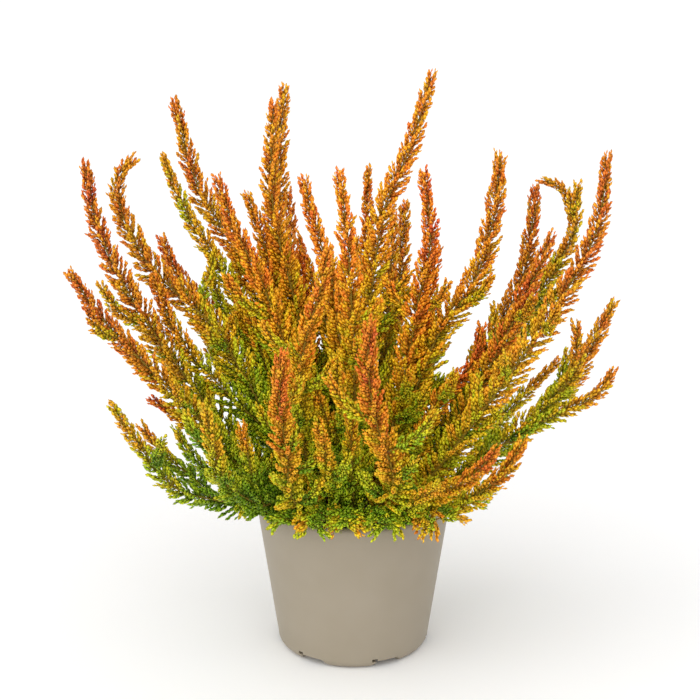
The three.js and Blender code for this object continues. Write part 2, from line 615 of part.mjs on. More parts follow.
// The skin of one leafy stem. Its rings have two leafy shoots on opposite sides and two hollows between
// them, and each ring is turned a quarter from the one below, as the real shoots are set.
function leafySkin(axis, own, others) {
  const curve = new THREE.CatmullRomCurve3(axis.points, false, 'centripetal');
  const length = curve.getLength();
  const side = new THREE.Vector3(0, 1, 0);
  const rings = axis.parent ? [] : footRings(axis.root);

  const addRing = (along, corners, twist) => {
    const centre = curve.getPointAt(along / length);
    const ahead = curve.getTangentAt(along / length);
    side.addScaledVector(ahead, -side.dot(ahead)).normalize();
    const across = ahead.clone().cross(side);
    const ring = [];
    for (let corner = 0; corner < CORNERS; corner += 1) {
      const { reach, lift } = corners[corner % corners.length];
      const angle = twist + corner * QUARTER_TURN;
      const slant = side.clone().multiplyScalar(Math.cos(angle));
      slant.addScaledVector(across, Math.sin(angle)).addScaledVector(ahead, lift);
      let drawnIn = reach;
      while (drawnIn > STEM_RADIUS && !hasRoom(centre.clone().addScaledVector(slant, drawnIn), own, others)) {
        drawnIn = Math.max(STEM_RADIUS, drawnIn * DRAW_IN);
      }
      ring.push(centre.clone().addScaledVector(slant, drawnIn));
    }
    rings.push(ring);
  };

  if (axis.parent) addRing(0, [{ reach: FORK_RADIUS, lift: 0 }], 0);
  const firstLeafyRing = rings.length;
  let pair = 0;
  let along = axis.bare;
  while (along < length - TIP_SHOOT_STEP / 2) {
    const fromTip = length - along;
    const radius = foliageRadius(fromTip, axis.girth);
    const grown = 1 - Math.exp(-fromTip / SHOOT_STEP_GROWTH_LENGTH);
    const step = TIP_SHOOT_STEP + (LOW_SHOOT_STEP - TIP_SHOOT_STEP) * grown;
    const vary = LEAST_SHOOT_SHARE + SHOOT_VARIATION * fraction(pair * GOLDEN_STEP + axis.order * 0.37);
    const ripe = THREE.MathUtils.clamp(1 - (fromTip - RIPE_LENGTH) / TURNING_LENGTH, 0, 1);
    const hollowShare = LOW_HOLLOW_SHARE + (RIPE_HOLLOW_SHARE - LOW_HOLLOW_SHARE) * ripe;
    const shoot = { reach: radius * vary, lift: Math.min(1, (SHOOT_LEAN * step) / radius) };
    const hollow = { reach: Math.max(STEM_RADIUS, radius * hollowShare), lift: 0 };
    const twist = axis.order * STEM_TWIST + pair * SHOOT_TWIST;
    addRing(along, pair % 2 ? [hollow, shoot] : [shoot, hollow], twist);
    along += step;
    pair += 1;
  }
  return closedSkin(rings, firstLeafyRing, curve.getPointAt(1));
}

// Grows every stem, and fuses each branch to the stem that carries it.
function makePlant() {
  const stems = [...STEMS, ...backStems()];
  const rooted = stems.filter((stem) => !stem.on);
  const roots = plantRoots(rooted);
  const axes = [];
  stems.forEach((stem, order) => {
    const parent = axes.find((axis) => axis.name === stem.on);
    axes.push(axisOf(stem, order, roots[rooted.indexOf(stem)], parent));
  });
  bendClear(axes);
  const meshes = [];
  for (const stem of rooted) {
    const own = axes.filter((axis) => axis.node === stem.name);
    const others = axes.filter((axis) => axis.node !== stem.name);
    const skins = own.map((axis) => solidOf(leafySkin(axis, own, others)));
    const body = skins.reduce((joined, skin) => joined.add(skin));
    meshes.push(meshOf(stem.name, geometryOf(body), COLOURS[own[0].tint], 0.7));
  }
  return { meshes, roots };
}

const heather = new THREE.Group();
heather.name = 'potted_heather';
const plant = makePlant();
heather.add(makePot(), makeSoil(plant.roots), ...plant.meshes);

export default heather;
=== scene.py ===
import json
import math
import random

import bmesh
import bpy
import numpy as np
from mathutils import Matrix, Vector

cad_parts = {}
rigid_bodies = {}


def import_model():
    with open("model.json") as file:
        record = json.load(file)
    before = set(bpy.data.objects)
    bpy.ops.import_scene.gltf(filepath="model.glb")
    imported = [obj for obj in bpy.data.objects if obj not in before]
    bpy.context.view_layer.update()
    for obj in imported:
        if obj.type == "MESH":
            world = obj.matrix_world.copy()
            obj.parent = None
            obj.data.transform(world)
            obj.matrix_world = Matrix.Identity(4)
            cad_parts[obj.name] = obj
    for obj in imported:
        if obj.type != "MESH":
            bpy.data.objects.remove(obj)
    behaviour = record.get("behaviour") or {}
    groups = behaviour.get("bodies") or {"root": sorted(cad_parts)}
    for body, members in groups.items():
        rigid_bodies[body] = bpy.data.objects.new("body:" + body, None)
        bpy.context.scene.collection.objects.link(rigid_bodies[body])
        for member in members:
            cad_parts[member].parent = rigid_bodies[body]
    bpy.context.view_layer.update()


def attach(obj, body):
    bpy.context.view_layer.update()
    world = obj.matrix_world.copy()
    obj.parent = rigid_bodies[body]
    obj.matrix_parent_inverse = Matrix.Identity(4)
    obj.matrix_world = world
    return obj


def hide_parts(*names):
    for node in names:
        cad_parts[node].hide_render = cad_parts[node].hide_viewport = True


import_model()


# The pot: a thin-walled nursery pot, moulded in one piece from taupe polypropylene. Its wall tapers to a
# flared foot ring that arches cut into six feet, and each foot has a small drain slot beside it. It stands
# free on those feet. Sizes are in millimetres, and angles in degrees where nothing else is said.
MM = 0.001
RIM_RADIUS = 60
POT_HEIGHT = 98
RIM_ROUNDING_HEIGHT = 3.4
RIM_ROUNDING_WIDTH = 2.9
WALL = 1.4
WALL_FOOT_RADIUS = 47
WALL_FOOT_HEIGHT = 6
FOOT_RADIUS = 40.8
FOOT_RING_WIDTH = 2.6
FLOOR_TOP = 7.6
FLOOR_UNDERSIDE = 6
FEET = 6
FOOT_ANGLE = 33
FIRST_FOOT_AZIMUTH = -93
ARCH_HEIGHT = 4.8
ARCH_SHOULDER_SHARE = 0.62
DRAIN_HOLE_RADIUS = 4
DRAIN_HOLE_PITCH_RADIUS = 31
DRAIN_HOLE_SIDES = 24
DRAIN_HOLE_CUT = 6
DRAIN_SLOT_WIDTH = 3.6
DRAIN_SLOT_HEIGHT = 2
DRAIN_SLOT_CUT = 12
DRAIN_SLOT_INTO_ARCH = 0.6
DRAIN_SLOT_PAST_FOOT = 3
FLOOR_ROUNDING = 1
INNER_ROUNDING_SHARE = 0.8
POT_COLUMNS = 180
ROUNDING_STEPS = 8
WALL_ROWS = 12
MERGE_DISTANCE = 0.02
SHARP_ANGLE = 35


def arch_height(azimuth):
    """How far the lower edge lifts off the ground: nothing at a foot, the full arch between two feet."""
    pitch = 360 / FEET
    from_foot = abs((azimuth - FIRST_FOOT_AZIMUTH + pitch / 2) % pitch - pitch / 2)
    from_arch = math.radians(pitch / 2 - from_foot) * FOOT_RADIUS
    half_width = math.radians(pitch - FOOT_ANGLE) * FOOT_RADIUS / 2
    side = half_width * (1 - ARCH_SHOULDER_SHARE)
    share = min(1, max(0, (half_width - from_arch) / side))
    return ARCH_HEIGHT * share * share * (3 - 2 * share)


def wall_radius(height):
    share = (height - WALL_FOOT_HEIGHT) / (POT_HEIGHT - RIM_ROUNDING_HEIGHT - WALL_FOOT_HEIGHT)
    return WALL_FOOT_RADIUS + (RIM_RADIUS - WALL_FOOT_RADIUS) * share


def flare_radius(height):
    """The outside of the foot: a quarter of an ellipse from the ground out to the wall."""
    turn = math.acos(1 - height / WALL_FOOT_HEIGHT)
    return FOOT_RADIUS + (WALL_FOOT_RADIUS - FOOT_RADIUS) * math.sin(turn)


def pot_outline(azimuth):
    """(radius, height) points from the floor up the inside, over the rim, down the outside and under."""
    shoulder = POT_HEIGHT - RIM_ROUNDING_HEIGHT
    arch = arch_height(azimuth)
    inner_foot = wall_radius(FLOOR_TOP) - WALL
    inner_foot_top = FLOOR_TOP + FLOOR_ROUNDING
    outline = [(inner_foot - FLOOR_ROUNDING, FLOOR_TOP), (inner_foot, inner_foot_top)]
    for row in range(1, WALL_ROWS + 1):
        height = inner_foot_top + (shoulder - FLOOR_TOP - FLOOR_ROUNDING) * row / WALL_ROWS
        outline.append((wall_radius(height) - WALL, height))
    for step in range(1, ROUNDING_STEPS):
        turn = math.pi / 2 * step / ROUNDING_STEPS
        radius = RIM_RADIUS - WALL - (RIM_ROUNDING_WIDTH - WALL / 2) * (1 - math.cos(turn)) / 2
        outline.append((radius, shoulder + RIM_ROUNDING_HEIGHT * INNER_ROUNDING_SHARE * math.sin(turn)))
    for step in range(ROUNDING_STEPS, -1, -1):
        turn = math.pi / 2 * step / ROUNDING_STEPS
        radius = RIM_RADIUS - RIM_ROUNDING_WIDTH * (1 - math.cos(turn))
        outline.append((radius, shoulder + RIM_ROUNDING_HEIGHT * math.sin(turn)))
    for row in range(1, WALL_ROWS + 1):
        height = shoulder + (WALL_FOOT_HEIGHT - shoulder) * row / WALL_ROWS
        outline.append((wall_radius(height), height))
    for step in range(1, ROUNDING_STEPS + 1):
        height = WALL_FOOT_HEIGHT + (arch - WALL_FOOT_HEIGHT) * step / ROUNDING_STEPS
        outline.append((flare_radius(height), height))
    outline.append((FOOT_RADIUS - FOOT_RING_WIDTH, arch))
    outline.append((FOOT_RADIUS - FOOT_RING_WIDTH, FLOOR_UNDERSIDE))
    return outline


def turned_mesh(name, outline_at, top_middle, bottom_middle, columns):
    """A closed mesh turned about the pot's axis: an outline for each azimuth, and a pole at each end."""
    azimuths = [360 * column / columns for column in range(columns)]
    outlines = [outline_at(azimuth) for azimuth in azimuths]
    rows = len(outlines[0])
    points = []
    for azimuth, outline in zip(azimuths, outlines):
        turn = math.radians(azimuth)
        points += [(r * math.cos(turn) * MM, r * math.sin(turn) * MM, z * MM) for r, z in outline]
    points += [(0, 0, top_middle * MM), (0, 0, bottom_middle * MM)]
    faces = []
    for column in range(columns):
        here, there = column * rows, (column + 1) % columns * rows
        faces += [(here + row, here + row + 1, there + row + 1, there + row) for row in range(rows - 1)]
        faces.append((here, there, len(points) - 2))
        faces.append((there + rows - 1, here + rows - 1, len(points) - 1))
    mesh = bpy.data.meshes.new(name)
    mesh.from_pydata(points, [], faces)
    shell = bmesh.new()
    shell.from_mesh(mesh)
    bmesh.ops.remove_doubles(shell, verts=shell.verts, dist=MERGE_DISTANCE * MM)
    bmesh.ops.recalc_face_normals(shell, faces=shell.faces)
    shell.to_mesh(mesh)
    shell.free()
    return mesh


def new_object(name, data):
    thing = bpy.data.objects.new(name, data)
    bpy.context.scene.collection.objects.link(thing)
    return thing


def cut(piece, cutters):
    """Cuts the closed cutters out of a piece and removes them."""
    for cutter in cutters:
        modifier = piece.modifiers.new("cut", "BOOLEAN")
        modifier.operation = "DIFFERENCE"
        modifier.solver = "EXACT"
        modifier.object = cutter
    bpy.context.view_layer.update()
    evaluated = piece.evaluated_get(bpy.context.evaluated_depsgraph_get())
    mesh = bpy.data.meshes.new_from_object(evaluated)
    piece.modifiers.clear()
    piece.data = mesh
    for cutter in cutters:
        bpy.data.objects.remove(cutter)


def drain_cutters():
    """A round hole in the floor behind each arch, and a slot through the wall beside each foot."""
    cutters = []
    for foot in range(FEET):
        foot_azimuth = FIRST_FOOT_AZIMUTH + 360 * foot / FEET
        hole = bmesh.new()
        bmesh.ops.create_cone(hole, cap_ends=True, segments=DRAIN_HOLE_SIDES, radius1=DRAIN_HOLE_RADIUS * MM,
                              radius2=DRAIN_HOLE_RADIUS * MM, depth=DRAIN_HOLE_CUT * MM)
        turn = math.radians(foot_azimuth + 180 / FEET)
        middle = Vector((math.cos(turn), math.sin(turn), 0)) * DRAIN_HOLE_PITCH_RADIUS
        middle.z = (FLOOR_TOP + FLOOR_UNDERSIDE) / 2
        bmesh.ops.translate(hole, vec=middle * MM, verts=hole.verts)
        slot = bmesh.new()
        bmesh.ops.create_cube(slot, size=1)
        slot_size = Vector((DRAIN_SLOT_CUT, DRAIN_SLOT_WIDTH, DRAIN_SLOT_HEIGHT))
        bmesh.ops.scale(slot, vec=slot_size * MM, verts=slot.verts)
        slot_height = ARCH_HEIGHT + DRAIN_SLOT_HEIGHT / 2 - DRAIN_SLOT_INTO_ARCH
        slot_middle = Vector((FOOT_RADIUS + WALL + DRAIN_SLOT_CUT / 2, 0, slot_height))
        bmesh.ops.translate(slot, vec=slot_middle * MM, verts=slot.verts)
        slot_turn = math.radians(foot_azimuth + FOOT_ANGLE / 2 + DRAIN_SLOT_PAST_FOOT)
        around = Matrix.Rotation(slot_turn, 3, "Z")
        bmesh.ops.rotate(slot, cent=(0, 0, 0), matrix=around, verts=slot.verts)
        for name, solid in (("drain_hole", hole), ("drain_slot", slot)):
            mesh = bpy.data.meshes.new(name)
            solid.to_mesh(mesh)
            solid.free()
            cutters.append(new_object(name, mesh))
    return cutters


def linear(colour):
    """An sRGB hex colour as the linear RGBA that a colour socket takes."""
    channels = [int(colour[start:start + 2], 16) / 255 for start in (1, 3, 5)]
    return [c / 12.92 if c <= 0.04045 else ((c + 0.055) / 1.055) ** 2.4 for c in channels] + [1]


def add_node(tree, kind, inputs=None, **settings):
    """Adds a node with its settings, and gives each input a value or a link."""
    node = tree.nodes.new(kind)
    for name, value in settings.items():
        setattr(node, name, value)
    for key, value in (inputs or {}).items():
        if isinstance(value, bpy.types.NodeSocket):
            tree.links.new(value, node.inputs[key])
        else:
            node.inputs[key].default_value = value
    return node


def ramp_colour(ramp_node, stops):
    """Sets the stops of a colour ramp from {place: hex colour}, and gives the colour that comes out."""
    elements = ramp_node.color_ramp.elements
    while len(elements) < len(stops):
        elements.new(0.5)
    for element, (place, colour) in zip(elements, sorted(stops.items())):
        element.position = place
        element.color = linear(colour)
    return ramp_node.outputs["Color"]


def surface(name, paint, **shader_inputs):
    """A material whose Principled shader takes plain values, and what paint(tree) links to it."""
    material = bpy.data.materials.new(name)
    material.use_nodes = True
    tree = material.node_tree
    tree.nodes.clear()
    shader = add_node(tree, "ShaderNodeBsdfPrincipled", {**shader_inputs, **paint(tree)})
    add_node(tree, "ShaderNodeOutputMaterial", {"Surface": shader.outputs["BSDF"]})
    return material


def mottling(tree, size, detail):
    """An uneven value all through a piece, from noise on its own coordinates, in patches of this size."""
    place = add_node(tree, "ShaderNodeTexCoord").outputs["Object"]
    noise = {"Vector": place, "Scale": 1 / (size * MM), "Detail": detail}
    return add_node(tree, "ShaderNodeTexNoise", noise).outputs["Fac"]


# Moulded polypropylene has a satin skin: soft wide highlights, a faint cloudiness in the colour and the
# fine grain of the mould, which is drawn 0.5 mm coarse so that it shows.
POT_CLOUD_SIZE = 30
MOULD_GRAIN_SIZE = 0.5
MOULD_GRAIN_DEPTH = 0.1


def paint_pot(tree):
    ramp = add_node(tree, "ShaderNodeValToRGB", {"Fac": mottling(tree, POT_CLOUD_SIZE, 2)})
    bump = add_node(tree, "ShaderNodeBump", {"Height": mottling(tree, MOULD_GRAIN_SIZE, 1), "Strength": 0.06,
                                             "Distance": MOULD_GRAIN_DEPTH * MM})
    colour = ramp_colour(ramp, {0.3: "#988d7a", 0.7: "#9c917f"})
    return {"Base Color": colour, "Normal": bump.outputs["Normal"]}


pot_mesh = turned_mesh("nursery_pot", pot_outline, FLOOR_TOP, FLOOR_UNDERSIDE, POT_COLUMNS)
pot = new_object("nursery_pot", pot_mesh)
cut(pot, drain_cutters())
pot.data.set_sharp_from_angle(angle=math.radians(SHARP_ANGLE))
pot.data.materials.clear()
pot.data.materials.append(surface("moulded_polypropylene", paint_pot, **{"Roughness": 0.5, "IOR": 1.49}))
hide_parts("pot")
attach(pot, "root")


# The soil: dark peat with the root ball in it, pressed in by hand to about a centimetre below the rim. It
# is a loose crumbly bed, with coarser crumbs lying on it.
SOIL_TOP = 88
SOIL_GAP = 0.3
SOIL_UNEVENNESS = 1.2
SOIL_EDGE_DROP = 1.5
SOIL_ROWS = 26
SOIL_COLUMNS = 90
CRUMB_SPACING = 2.6
CRUMB_RADIUS = 1.1
CRUMB_LEAST_SCALE = (0.5, 0.5, 0.3)
CRUMB_MOST_SCALE = (1.6, 1.2, 0.8)
CRUMB_MOST_TURN = (6.28, 6.28, 6.28)  # radians
CRUMBS_PER_SQUARE_METRE = 400000.0
CRUMB_SEED = 7


def soil_outline(azimuth):
    """(radius, height) points over the uneven top of the bed and down its side, the same on each run."""
    bottom = FLOOR_TOP + SOIL_GAP
    inside = WALL + SOIL_GAP
    rng = random.Random(round(azimuth * 10))
    edge = wall_radius(SOIL_TOP) - inside
    outline = []
    for row in range(1, SOIL_ROWS):
        outline.append((edge * row / SOIL_ROWS, SOIL_TOP - SOIL_UNEVENNESS * rng.random()))
    outline.append((edge, SOIL_TOP - SOIL_EDGE_DROP))
    outline.append((wall_radius(bottom) - inside, bottom))
    return outline


def empty_tree(name, inputs):
    """A tree that takes a geometry and the named inputs, and gives a geometry."""
    tree = bpy.data.node_groups.new(name, "GeometryNodeTree")
    tree.interface.new_socket(name="Geometry", in_out="OUTPUT", socket_type="NodeSocketGeometry")
    for word, kind in {"Geometry": "Geometry", **inputs}.items():
        tree.interface.new_socket(name=word, in_out="INPUT", socket_type="NodeSocket" + kind)
    return tree


def crumb_tree():
    """Scatters crumbs of peat over the top of the bed."""
    tree = empty_tree("peat crumbs", {"Spacing": "Float", "Crumb radius": "Float", "Seed": "Int",
                                      "Peat": "Material"})
    given = add_node(tree, "NodeGroupInput").outputs
    normal = add_node(tree, "GeometryNodeInputNormal").outputs["Normal"]
    upright = add_node(tree, "ShaderNodeSeparateXYZ", {"Vector": normal}).outputs["Z"]
    on_top = add_node(tree, "FunctionNodeCompare", {0: upright, 1: 0.5}, operation="GREATER_THAN")
    scatter = add_node(tree, "GeometryNodeDistributePointsOnFaces",
                       {"Mesh": given["Geometry"], "Selection": on_top.outputs["Result"],
                        "Distance Min": given["Spacing"], "Density Max": CRUMBS_PER_SQUARE_METRE,
                        "Seed": given["Seed"]}, distribute_method="POISSON")
    crumb = add_node(tree, "GeometryNodeMeshIcoSphere",
                     {"Radius": given["Crumb radius"], "Subdivisions": 1})
    size = add_node(tree, "FunctionNodeRandomValue", {0: CRUMB_LEAST_SCALE, 1: CRUMB_MOST_SCALE},
                    data_type="FLOAT_VECTOR")
    turn = add_node(tree, "FunctionNodeRandomValue", {0: (0, 0, 0), 1: CRUMB_MOST_TURN},
                    data_type="FLOAT_VECTOR")
    crumbs = add_node(tree, "GeometryNodeInstanceOnPoints",
                      {"Points": scatter.outputs["Points"], "Instance": crumb.outputs["Mesh"],
                       "Rotation": turn.outputs[0], "Scale": size.outputs[0]})
    loose = add_node(tree, "GeometryNodeRealizeInstances", {"Geometry": crumbs.outputs["Instances"]})
    join = add_node(tree, "GeometryNodeJoinGeometry", {"Geometry": loose.outputs["Geometry"]})
    tree.links.new(given["Geometry"], join.inputs["Geometry"])
    dressed = add_node(tree, "GeometryNodeSetMaterial",
                       {"Geometry": join.outputs["Geometry"], "Material": given["Peat"]})
    add_node(tree, "NodeGroupOutput", {"Geometry": dressed.outputs["Geometry"]})
    return tree


def grown(source, tree, settings):
    """The plain mesh that a tree makes of a source object, with the named inputs set."""
    modifier = source.modifiers.new(tree.name, "NODES")
    modifier.node_group = tree
    for socket in tree.interface.items_tree:
        if socket.in_out == "INPUT" and socket.name in settings:
            modifier[socket.identifier] = settings[socket.name]
    source.update_tag()
    evaluated = source.evaluated_get(bpy.context.evaluated_depsgraph_get())
    mesh = bpy.data.meshes.new_from_object(evaluated)
    source.modifiers.clear()
    return mesh


# Moist peat is nearly black brown and quite matt, with paler fibres in it, about two millimetres long.
PEAT_FIBRE_SIZE = 2
PEAT_FIBRE_DEPTH = 0.6


def paint_peat(tree):
    fibres = mottling(tree, PEAT_FIBRE_SIZE, 4)
    ramp = add_node(tree, "ShaderNodeValToRGB", {"Fac": fibres})
    bump = add_node(tree, "ShaderNodeBump", {"Height": fibres, "Strength": 0.8,
                                             "Distance": PEAT_FIBRE_DEPTH * MM})
    colour = ramp_colour(ramp, {0.35: "#1f1611", 0.6: "#3a2a20", 0.75: "#5c4433"})
    return {"Base Color": colour, "Normal": bump.outputs["Normal"]}


peat = surface("moist_peat", paint_peat, **{"Roughness": 0.95})
soil_mesh = turned_mesh("peat_bed", soil_outline, SOIL_TOP - SOIL_UNEVENNESS / 2, FLOOR_TOP + SOIL_GAP,
                        SOIL_COLUMNS)
soil = new_object("peat_bed", soil_mesh)
soil.data = grown(soil, crumb_tree(), {"Spacing": CRUMB_SPACING * MM, "Crumb radius": CRUMB_RADIUS * MM,
                                       "Seed": CRUMB_SEED, "Peat": peat})
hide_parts("soil")
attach(soil, "root")


# The stems: each is one woody stem, red-brown and thin, that stands in a hole in the peat and carries its
# side branches. Their paths are as in the model: through these points, then eased clear of each other.
STEM_RADIUS = 1.25
STEM_SPREAD_AT_SOIL = 43
STEM_SPACING_AT_SOIL = 7.6
STEM_HOLE_DEPTH = 10
ROOT_ROUNDS = 300
ROOT_AIM_SLACK = 60
LOW_ROOT_SHARE = 0.8
TALL_ROOT_SHARE = 0.4
TALLEST_RISE = 260
PATH_STEPS = 16
BEND_START = 1.5
BEND_ROUNDS = 80
BEND_EASE = 0.3
SMOOTHING_PASSES = 2
ROOM_PER_RADIUS = 1.25
ROOM_AT_SOIL = 6
ROOM_GAINED_PER_RISE = 0.05
STIFF_STEPS = 2
LEAST_SQUARE = 1e-6
RIM_CLEARANCE = 6.5
RIM_LANE = 7
RIM_LANE_SLOPE = 1.2
TRACE_STEPS = 200
LEAST_GAP = 1e-4
TIP_RADIUS = 2.4
FULL_RADIUS = 12.4
RADIUS_GROWTH_LENGTH = 105
RIPENESS = {"orange": (0.73, 0.53), "yellow": (0.58, 0.34), "green": (0.4, 0.26)}
BACK_STEMS = 12
BACK_AZIMUTH_START = 38
BACK_AZIMUTH_SPAN = 112
GOLDEN_STEP = 0.618
BACK_REACH_STEP = 0.755
BACK_ELBOW_REACH = 0.68
BACK_ELBOW_RISE = 0.42
BACK_ELBOW_LEAST_RISE = 19
BACK_TIERS = [
    {"tint": "orange", "reach": 66, "spread": 22, "rise": 158, "fall": 18, "girth": 1},
    {"tint": "yellow", "reach": 92, "spread": 20, "rise": 112, "fall": 30, "girth": 1},
    {"tint": "green", "reach": 86, "spread": 12, "rise": 42, "fall": 22, "girth": 1.15},
]


def plan(name, *path, **habit):
    """A stem, or a branch on a share of another one: the points that it grows through, and its habit."""
    return {"name": name, "path": path, **habit}


STEMS = [
    plan("spike_left_tall", (-130, -3, 219), (-152, 2, 267), (-158, 5, 306)),
    plan("spike_left_hooked", (-84, 8, 200), (-123, 15, 239), (-141, 22, 276), (-141, 24, 289),
         (-130, 25, 303), girth=1.1),
    plan("branch_left_hooked", (-76, -3, 163), (-106, 0, 200), (-120, 2, 238), on="spike_left_hooked",
         share=0.19),
    plan("spike_left_low", (-110, -42, 182), (-143, -52, 224), (-161, -60, 256)),
    plan("branch_left_low", (-83, -30, 139), (-103, -33, 158), (-121, -35, 172), on="spike_left_low",
         share=0.2, girth=0.8),
    plan("spike_left_yellow", (-78, 36, 224), (-103, 42, 267), (-117, 45, 302), tint="yellow", girth=0.8),
    plan("spike_left_inner", (-68, 48, 232), (-95, 56, 276), (-110, 60, 333)),
    plan("spike_left_short", (-54, 18, 223), (-71, 26, 257), (-83, 30, 291)),
    plan("spike_left_leaning", (-89, 44, 199), (-110, 54, 224), (-121, 60, 246)),
    plan("spike_middle_left", (-43, 42, 206), (-57, 55, 248), (-67, 60, 274)),
    plan("spike_middle_tall", (-46, 50, 236), (-51, 62, 281), (-49, 70, 330)),
    plan("branch_middle_tall", (-47, 70, 250), (-47, 82, 290), (-43, 92, 336), on="spike_middle_tall",
         share=0.3),
    plan("spike_middle_thin", (-40, 80, 208), (-40, 98, 240), (-42, 106, 267), girth=0.75),
    plan("spike_middle_inner", (-14, 35, 227), (-24, 45, 257), (-31, 50, 286)),
    plan("branch_middle_inner", (-23, 58, 208), (-30, 72, 226), (-36, 82, 243), on="spike_middle_inner",
         share=0.4, girth=0.75),
    plan("spike_middle_front", (-1, -12, 219), (-4, -8, 266), (-9, -5, 302)),
    plan("spike_middle_back", (8, 66, 211), (9, 76, 247), (9, 86, 286), girth=0.75),
    plan("spike_tallest", (13, 46, 227), (19, 50, 265), (34, 54, 301), (49, 60, 350)),
    plan("spike_middle_right", (29, 85, 197), (32, 98, 230), (34, 107, 258)),
    plan("branch_middle_right", (22, 70, 201), (25, 85, 230), (26, 92, 254), on="spike_middle_right",
         share=0.25, girth=0.85),
    plan("spike_right_inner", (33, 20, 174), (40, 28, 213), (47, 32, 250), (42, 35, 294)),
    plan("spike_right_thick", (53, 26, 193), (75, 33, 225), (86, 38, 265), (89, 40, 303), girth=1.15),
    plan("spike_right_leaning", (89, 46, 185), (106, 58, 218), (112, 64, 252), (114, 70, 277)),
    plan("spike_right_nodding", (101, 40, 190), (122, 50, 220), (136, 56, 247), (139, 60, 281),
         tint="yellow", girth=0.85),
    plan("branch_right_nodding", (131, 60, 274), (114, 60, 283), on="spike_right_nodding", share=0.88,
         girth=0.75),
    plan("spike_right_tall", (86, -38, 179), (122, -25, 230), (142, -15, 268), (148, -5, 312),
         root=(31, -15)),
    plan("spike_right_behind", (92, 12, 193), (111, 20, 233), (121, 25, 257)),
    plan("spike_right_low", (97, -18, 142), (132, 5, 166), (148, 20, 190), (162, 35, 212), root=(38, -6)),
    plan("branch_right_low_a", (130, -22, 181), (132, -26, 199), (130, -28, 217), on="spike_right_low",
         share=0.5),
    plan("branch_right_low_b", (124, -22, 158), (144, -20, 168), (157, -15, 184), on="spike_right_low",
         share=0.42, girth=0.9),
    plan("branch_right_low_c", (94, 15, 143), (113, 30, 158), (130, 40, 172), on="spike_right_low",
         share=0.25, girth=0.8),
    plan("spike_right_short", (53, 8, 155), (74, 20, 175), (79, 25, 199)),
    plan("spike_centre_right", (39, 50, 164), (50, 65, 190), (55, 75, 209), tint="green", girth=0.9),
    plan("spike_front_left", (-36, -70, 124), (-38, -88, 158), (-41, -100, 192), (-39, -105, 222),
         root=(-26, -38), girth=1.2),
    plan("spike_front_inner", (-32, -48, 175), (-28, -58, 211), (-18, -66, 249), (-14, -70, 273)),
    plan("spike_front_right", (23, -76, 136), (13, -92, 175), (8, -100, 210), (9, -105, 240),
         root=(13, -34), girth=1.2),
    plan("spike_front_green", (-10, -40, 144), (-18, -46, 168), (-28, -48, 191), tint="yellow"),
    plan("spike_front_middle_a", (-3, -45, 155), (-8, -52, 182), (-11, -55, 207), tint="yellow"),
    plan("spike_front_middle_b", (-1, -60, 142), (-1, -70, 164), (-2, -75, 184), tint="yellow"),
    plan("spike_front_middle_c", (-11, -62, 127), (-16, -82, 153), (-20, -95, 179), tint="yellow"),
    plan("spray_front_left", (-74, -80, 136), (-79, -96, 167), (-83, -100, 191), tint="yellow", girth=1.15),
    plan("branch_front_left", (-54, -56, 115), (-60, -62, 139), (-65, -64, 165), on="spray_front_left",
         share=0.22),
    plan("spray_left_long", (-77, -36, 106), (-104, -44, 117), (-123, -46, 141), (-142, -45, 172),
         tint="yellow", girth=0.9),
    plan("branch_left_long", (-95, -28, 117), (-114, -22, 131), (-129, -18, 150), on="spray_left_long",
         share=0.35, girth=0.9),
    plan("spray_left_green", (-86, 6, 106), (-101, 12, 118), (-111, 14, 137), tint="green", girth=0.9),
    plan("spray_back_left", (-63, 28, 188), (-81, 36, 208), (-89, 40, 228), tint="green"),
    plan("branch_back_left", (-59, 24, 186), (-67, 28, 201), (-72, 32, 217), on="spray_back_left",
         share=0.3),
    plan("spray_right_front", (68, -48, 112), (89, -54, 133), (100, -50, 152), root=(35, -25), girth=1.15),
    plan("spray_right_lower", (61, -30, 107), (80, -34, 104), root=(40, -16), tint="green", girth=1.3),
    plan("spray_right_upper", (51, -58, 121), (67, -72, 135), (82, -82, 157), root=(22, -27), girth=1.1),
    plan("spray_front_right", (36, -72, 120), (49, -92, 139), root=(20, -38), tint="yellow", girth=1.1),
    plan("shoot_over_rim_right", (46, -54, 107), (47, -62, 86), root=(28, -33), girth=1.2),
    plan("shoot_over_rim_a", (-41, -44, 106), (-50, -50, 88), tint="green", girth=1.5),
    plan("shoot_over_rim_b", (-26, -57, 108), (-32, -67, 89), tint="green", girth=1.5),
    plan("shoot_over_rim_c", (-11, -59, 108), (-14, -69, 92), tint="yellow", girth=1.4),
    plan("shoot_over_rim_d", (6, -59, 108), (8, -69, 95), tint="green", girth=1.4),
    plan("shoot_over_rim_e", (23, -58, 108), (27, -67, 89), tint="green", girth=1.5),
    plan("shoot_over_rim_f", (-58, -24, 107), (-76, -26, 92), tint="green", girth=1.5),
]


def back_stems():
    """The stems behind, in three tiers, whose azimuth and reach follow irrational steps."""
    stems = []
    for index in range(BACK_STEMS):
        tier = BACK_TIERS[index % len(BACK_TIERS)]
        azimuth = math.radians(BACK_AZIMUTH_START + BACK_AZIMUTH_SPAN * (index * GOLDEN_STEP % 1))
        share = index * BACK_REACH_STEP % 1
        reach = tier["reach"] + tier["spread"] * share
        rise = tier["rise"] - tier["fall"] * share
        path = []
        for out, up in ((BACK_ELBOW_REACH, max(BACK_ELBOW_LEAST_RISE, rise * BACK_ELBOW_RISE)), (1, rise)):
            path.append((reach * out * math.cos(azimuth), reach * out * math.sin(azimuth), SOIL_TOP + up))
        stems.append(plan(f"spike_back_{index + 1}", *path, tint=tier["tint"], girth=tier["girth"]))
    return stems


def clamp_length(vector, longest):
    length = np.linalg.norm(vector)
    return vector * (longest / length) if length > longest else vector


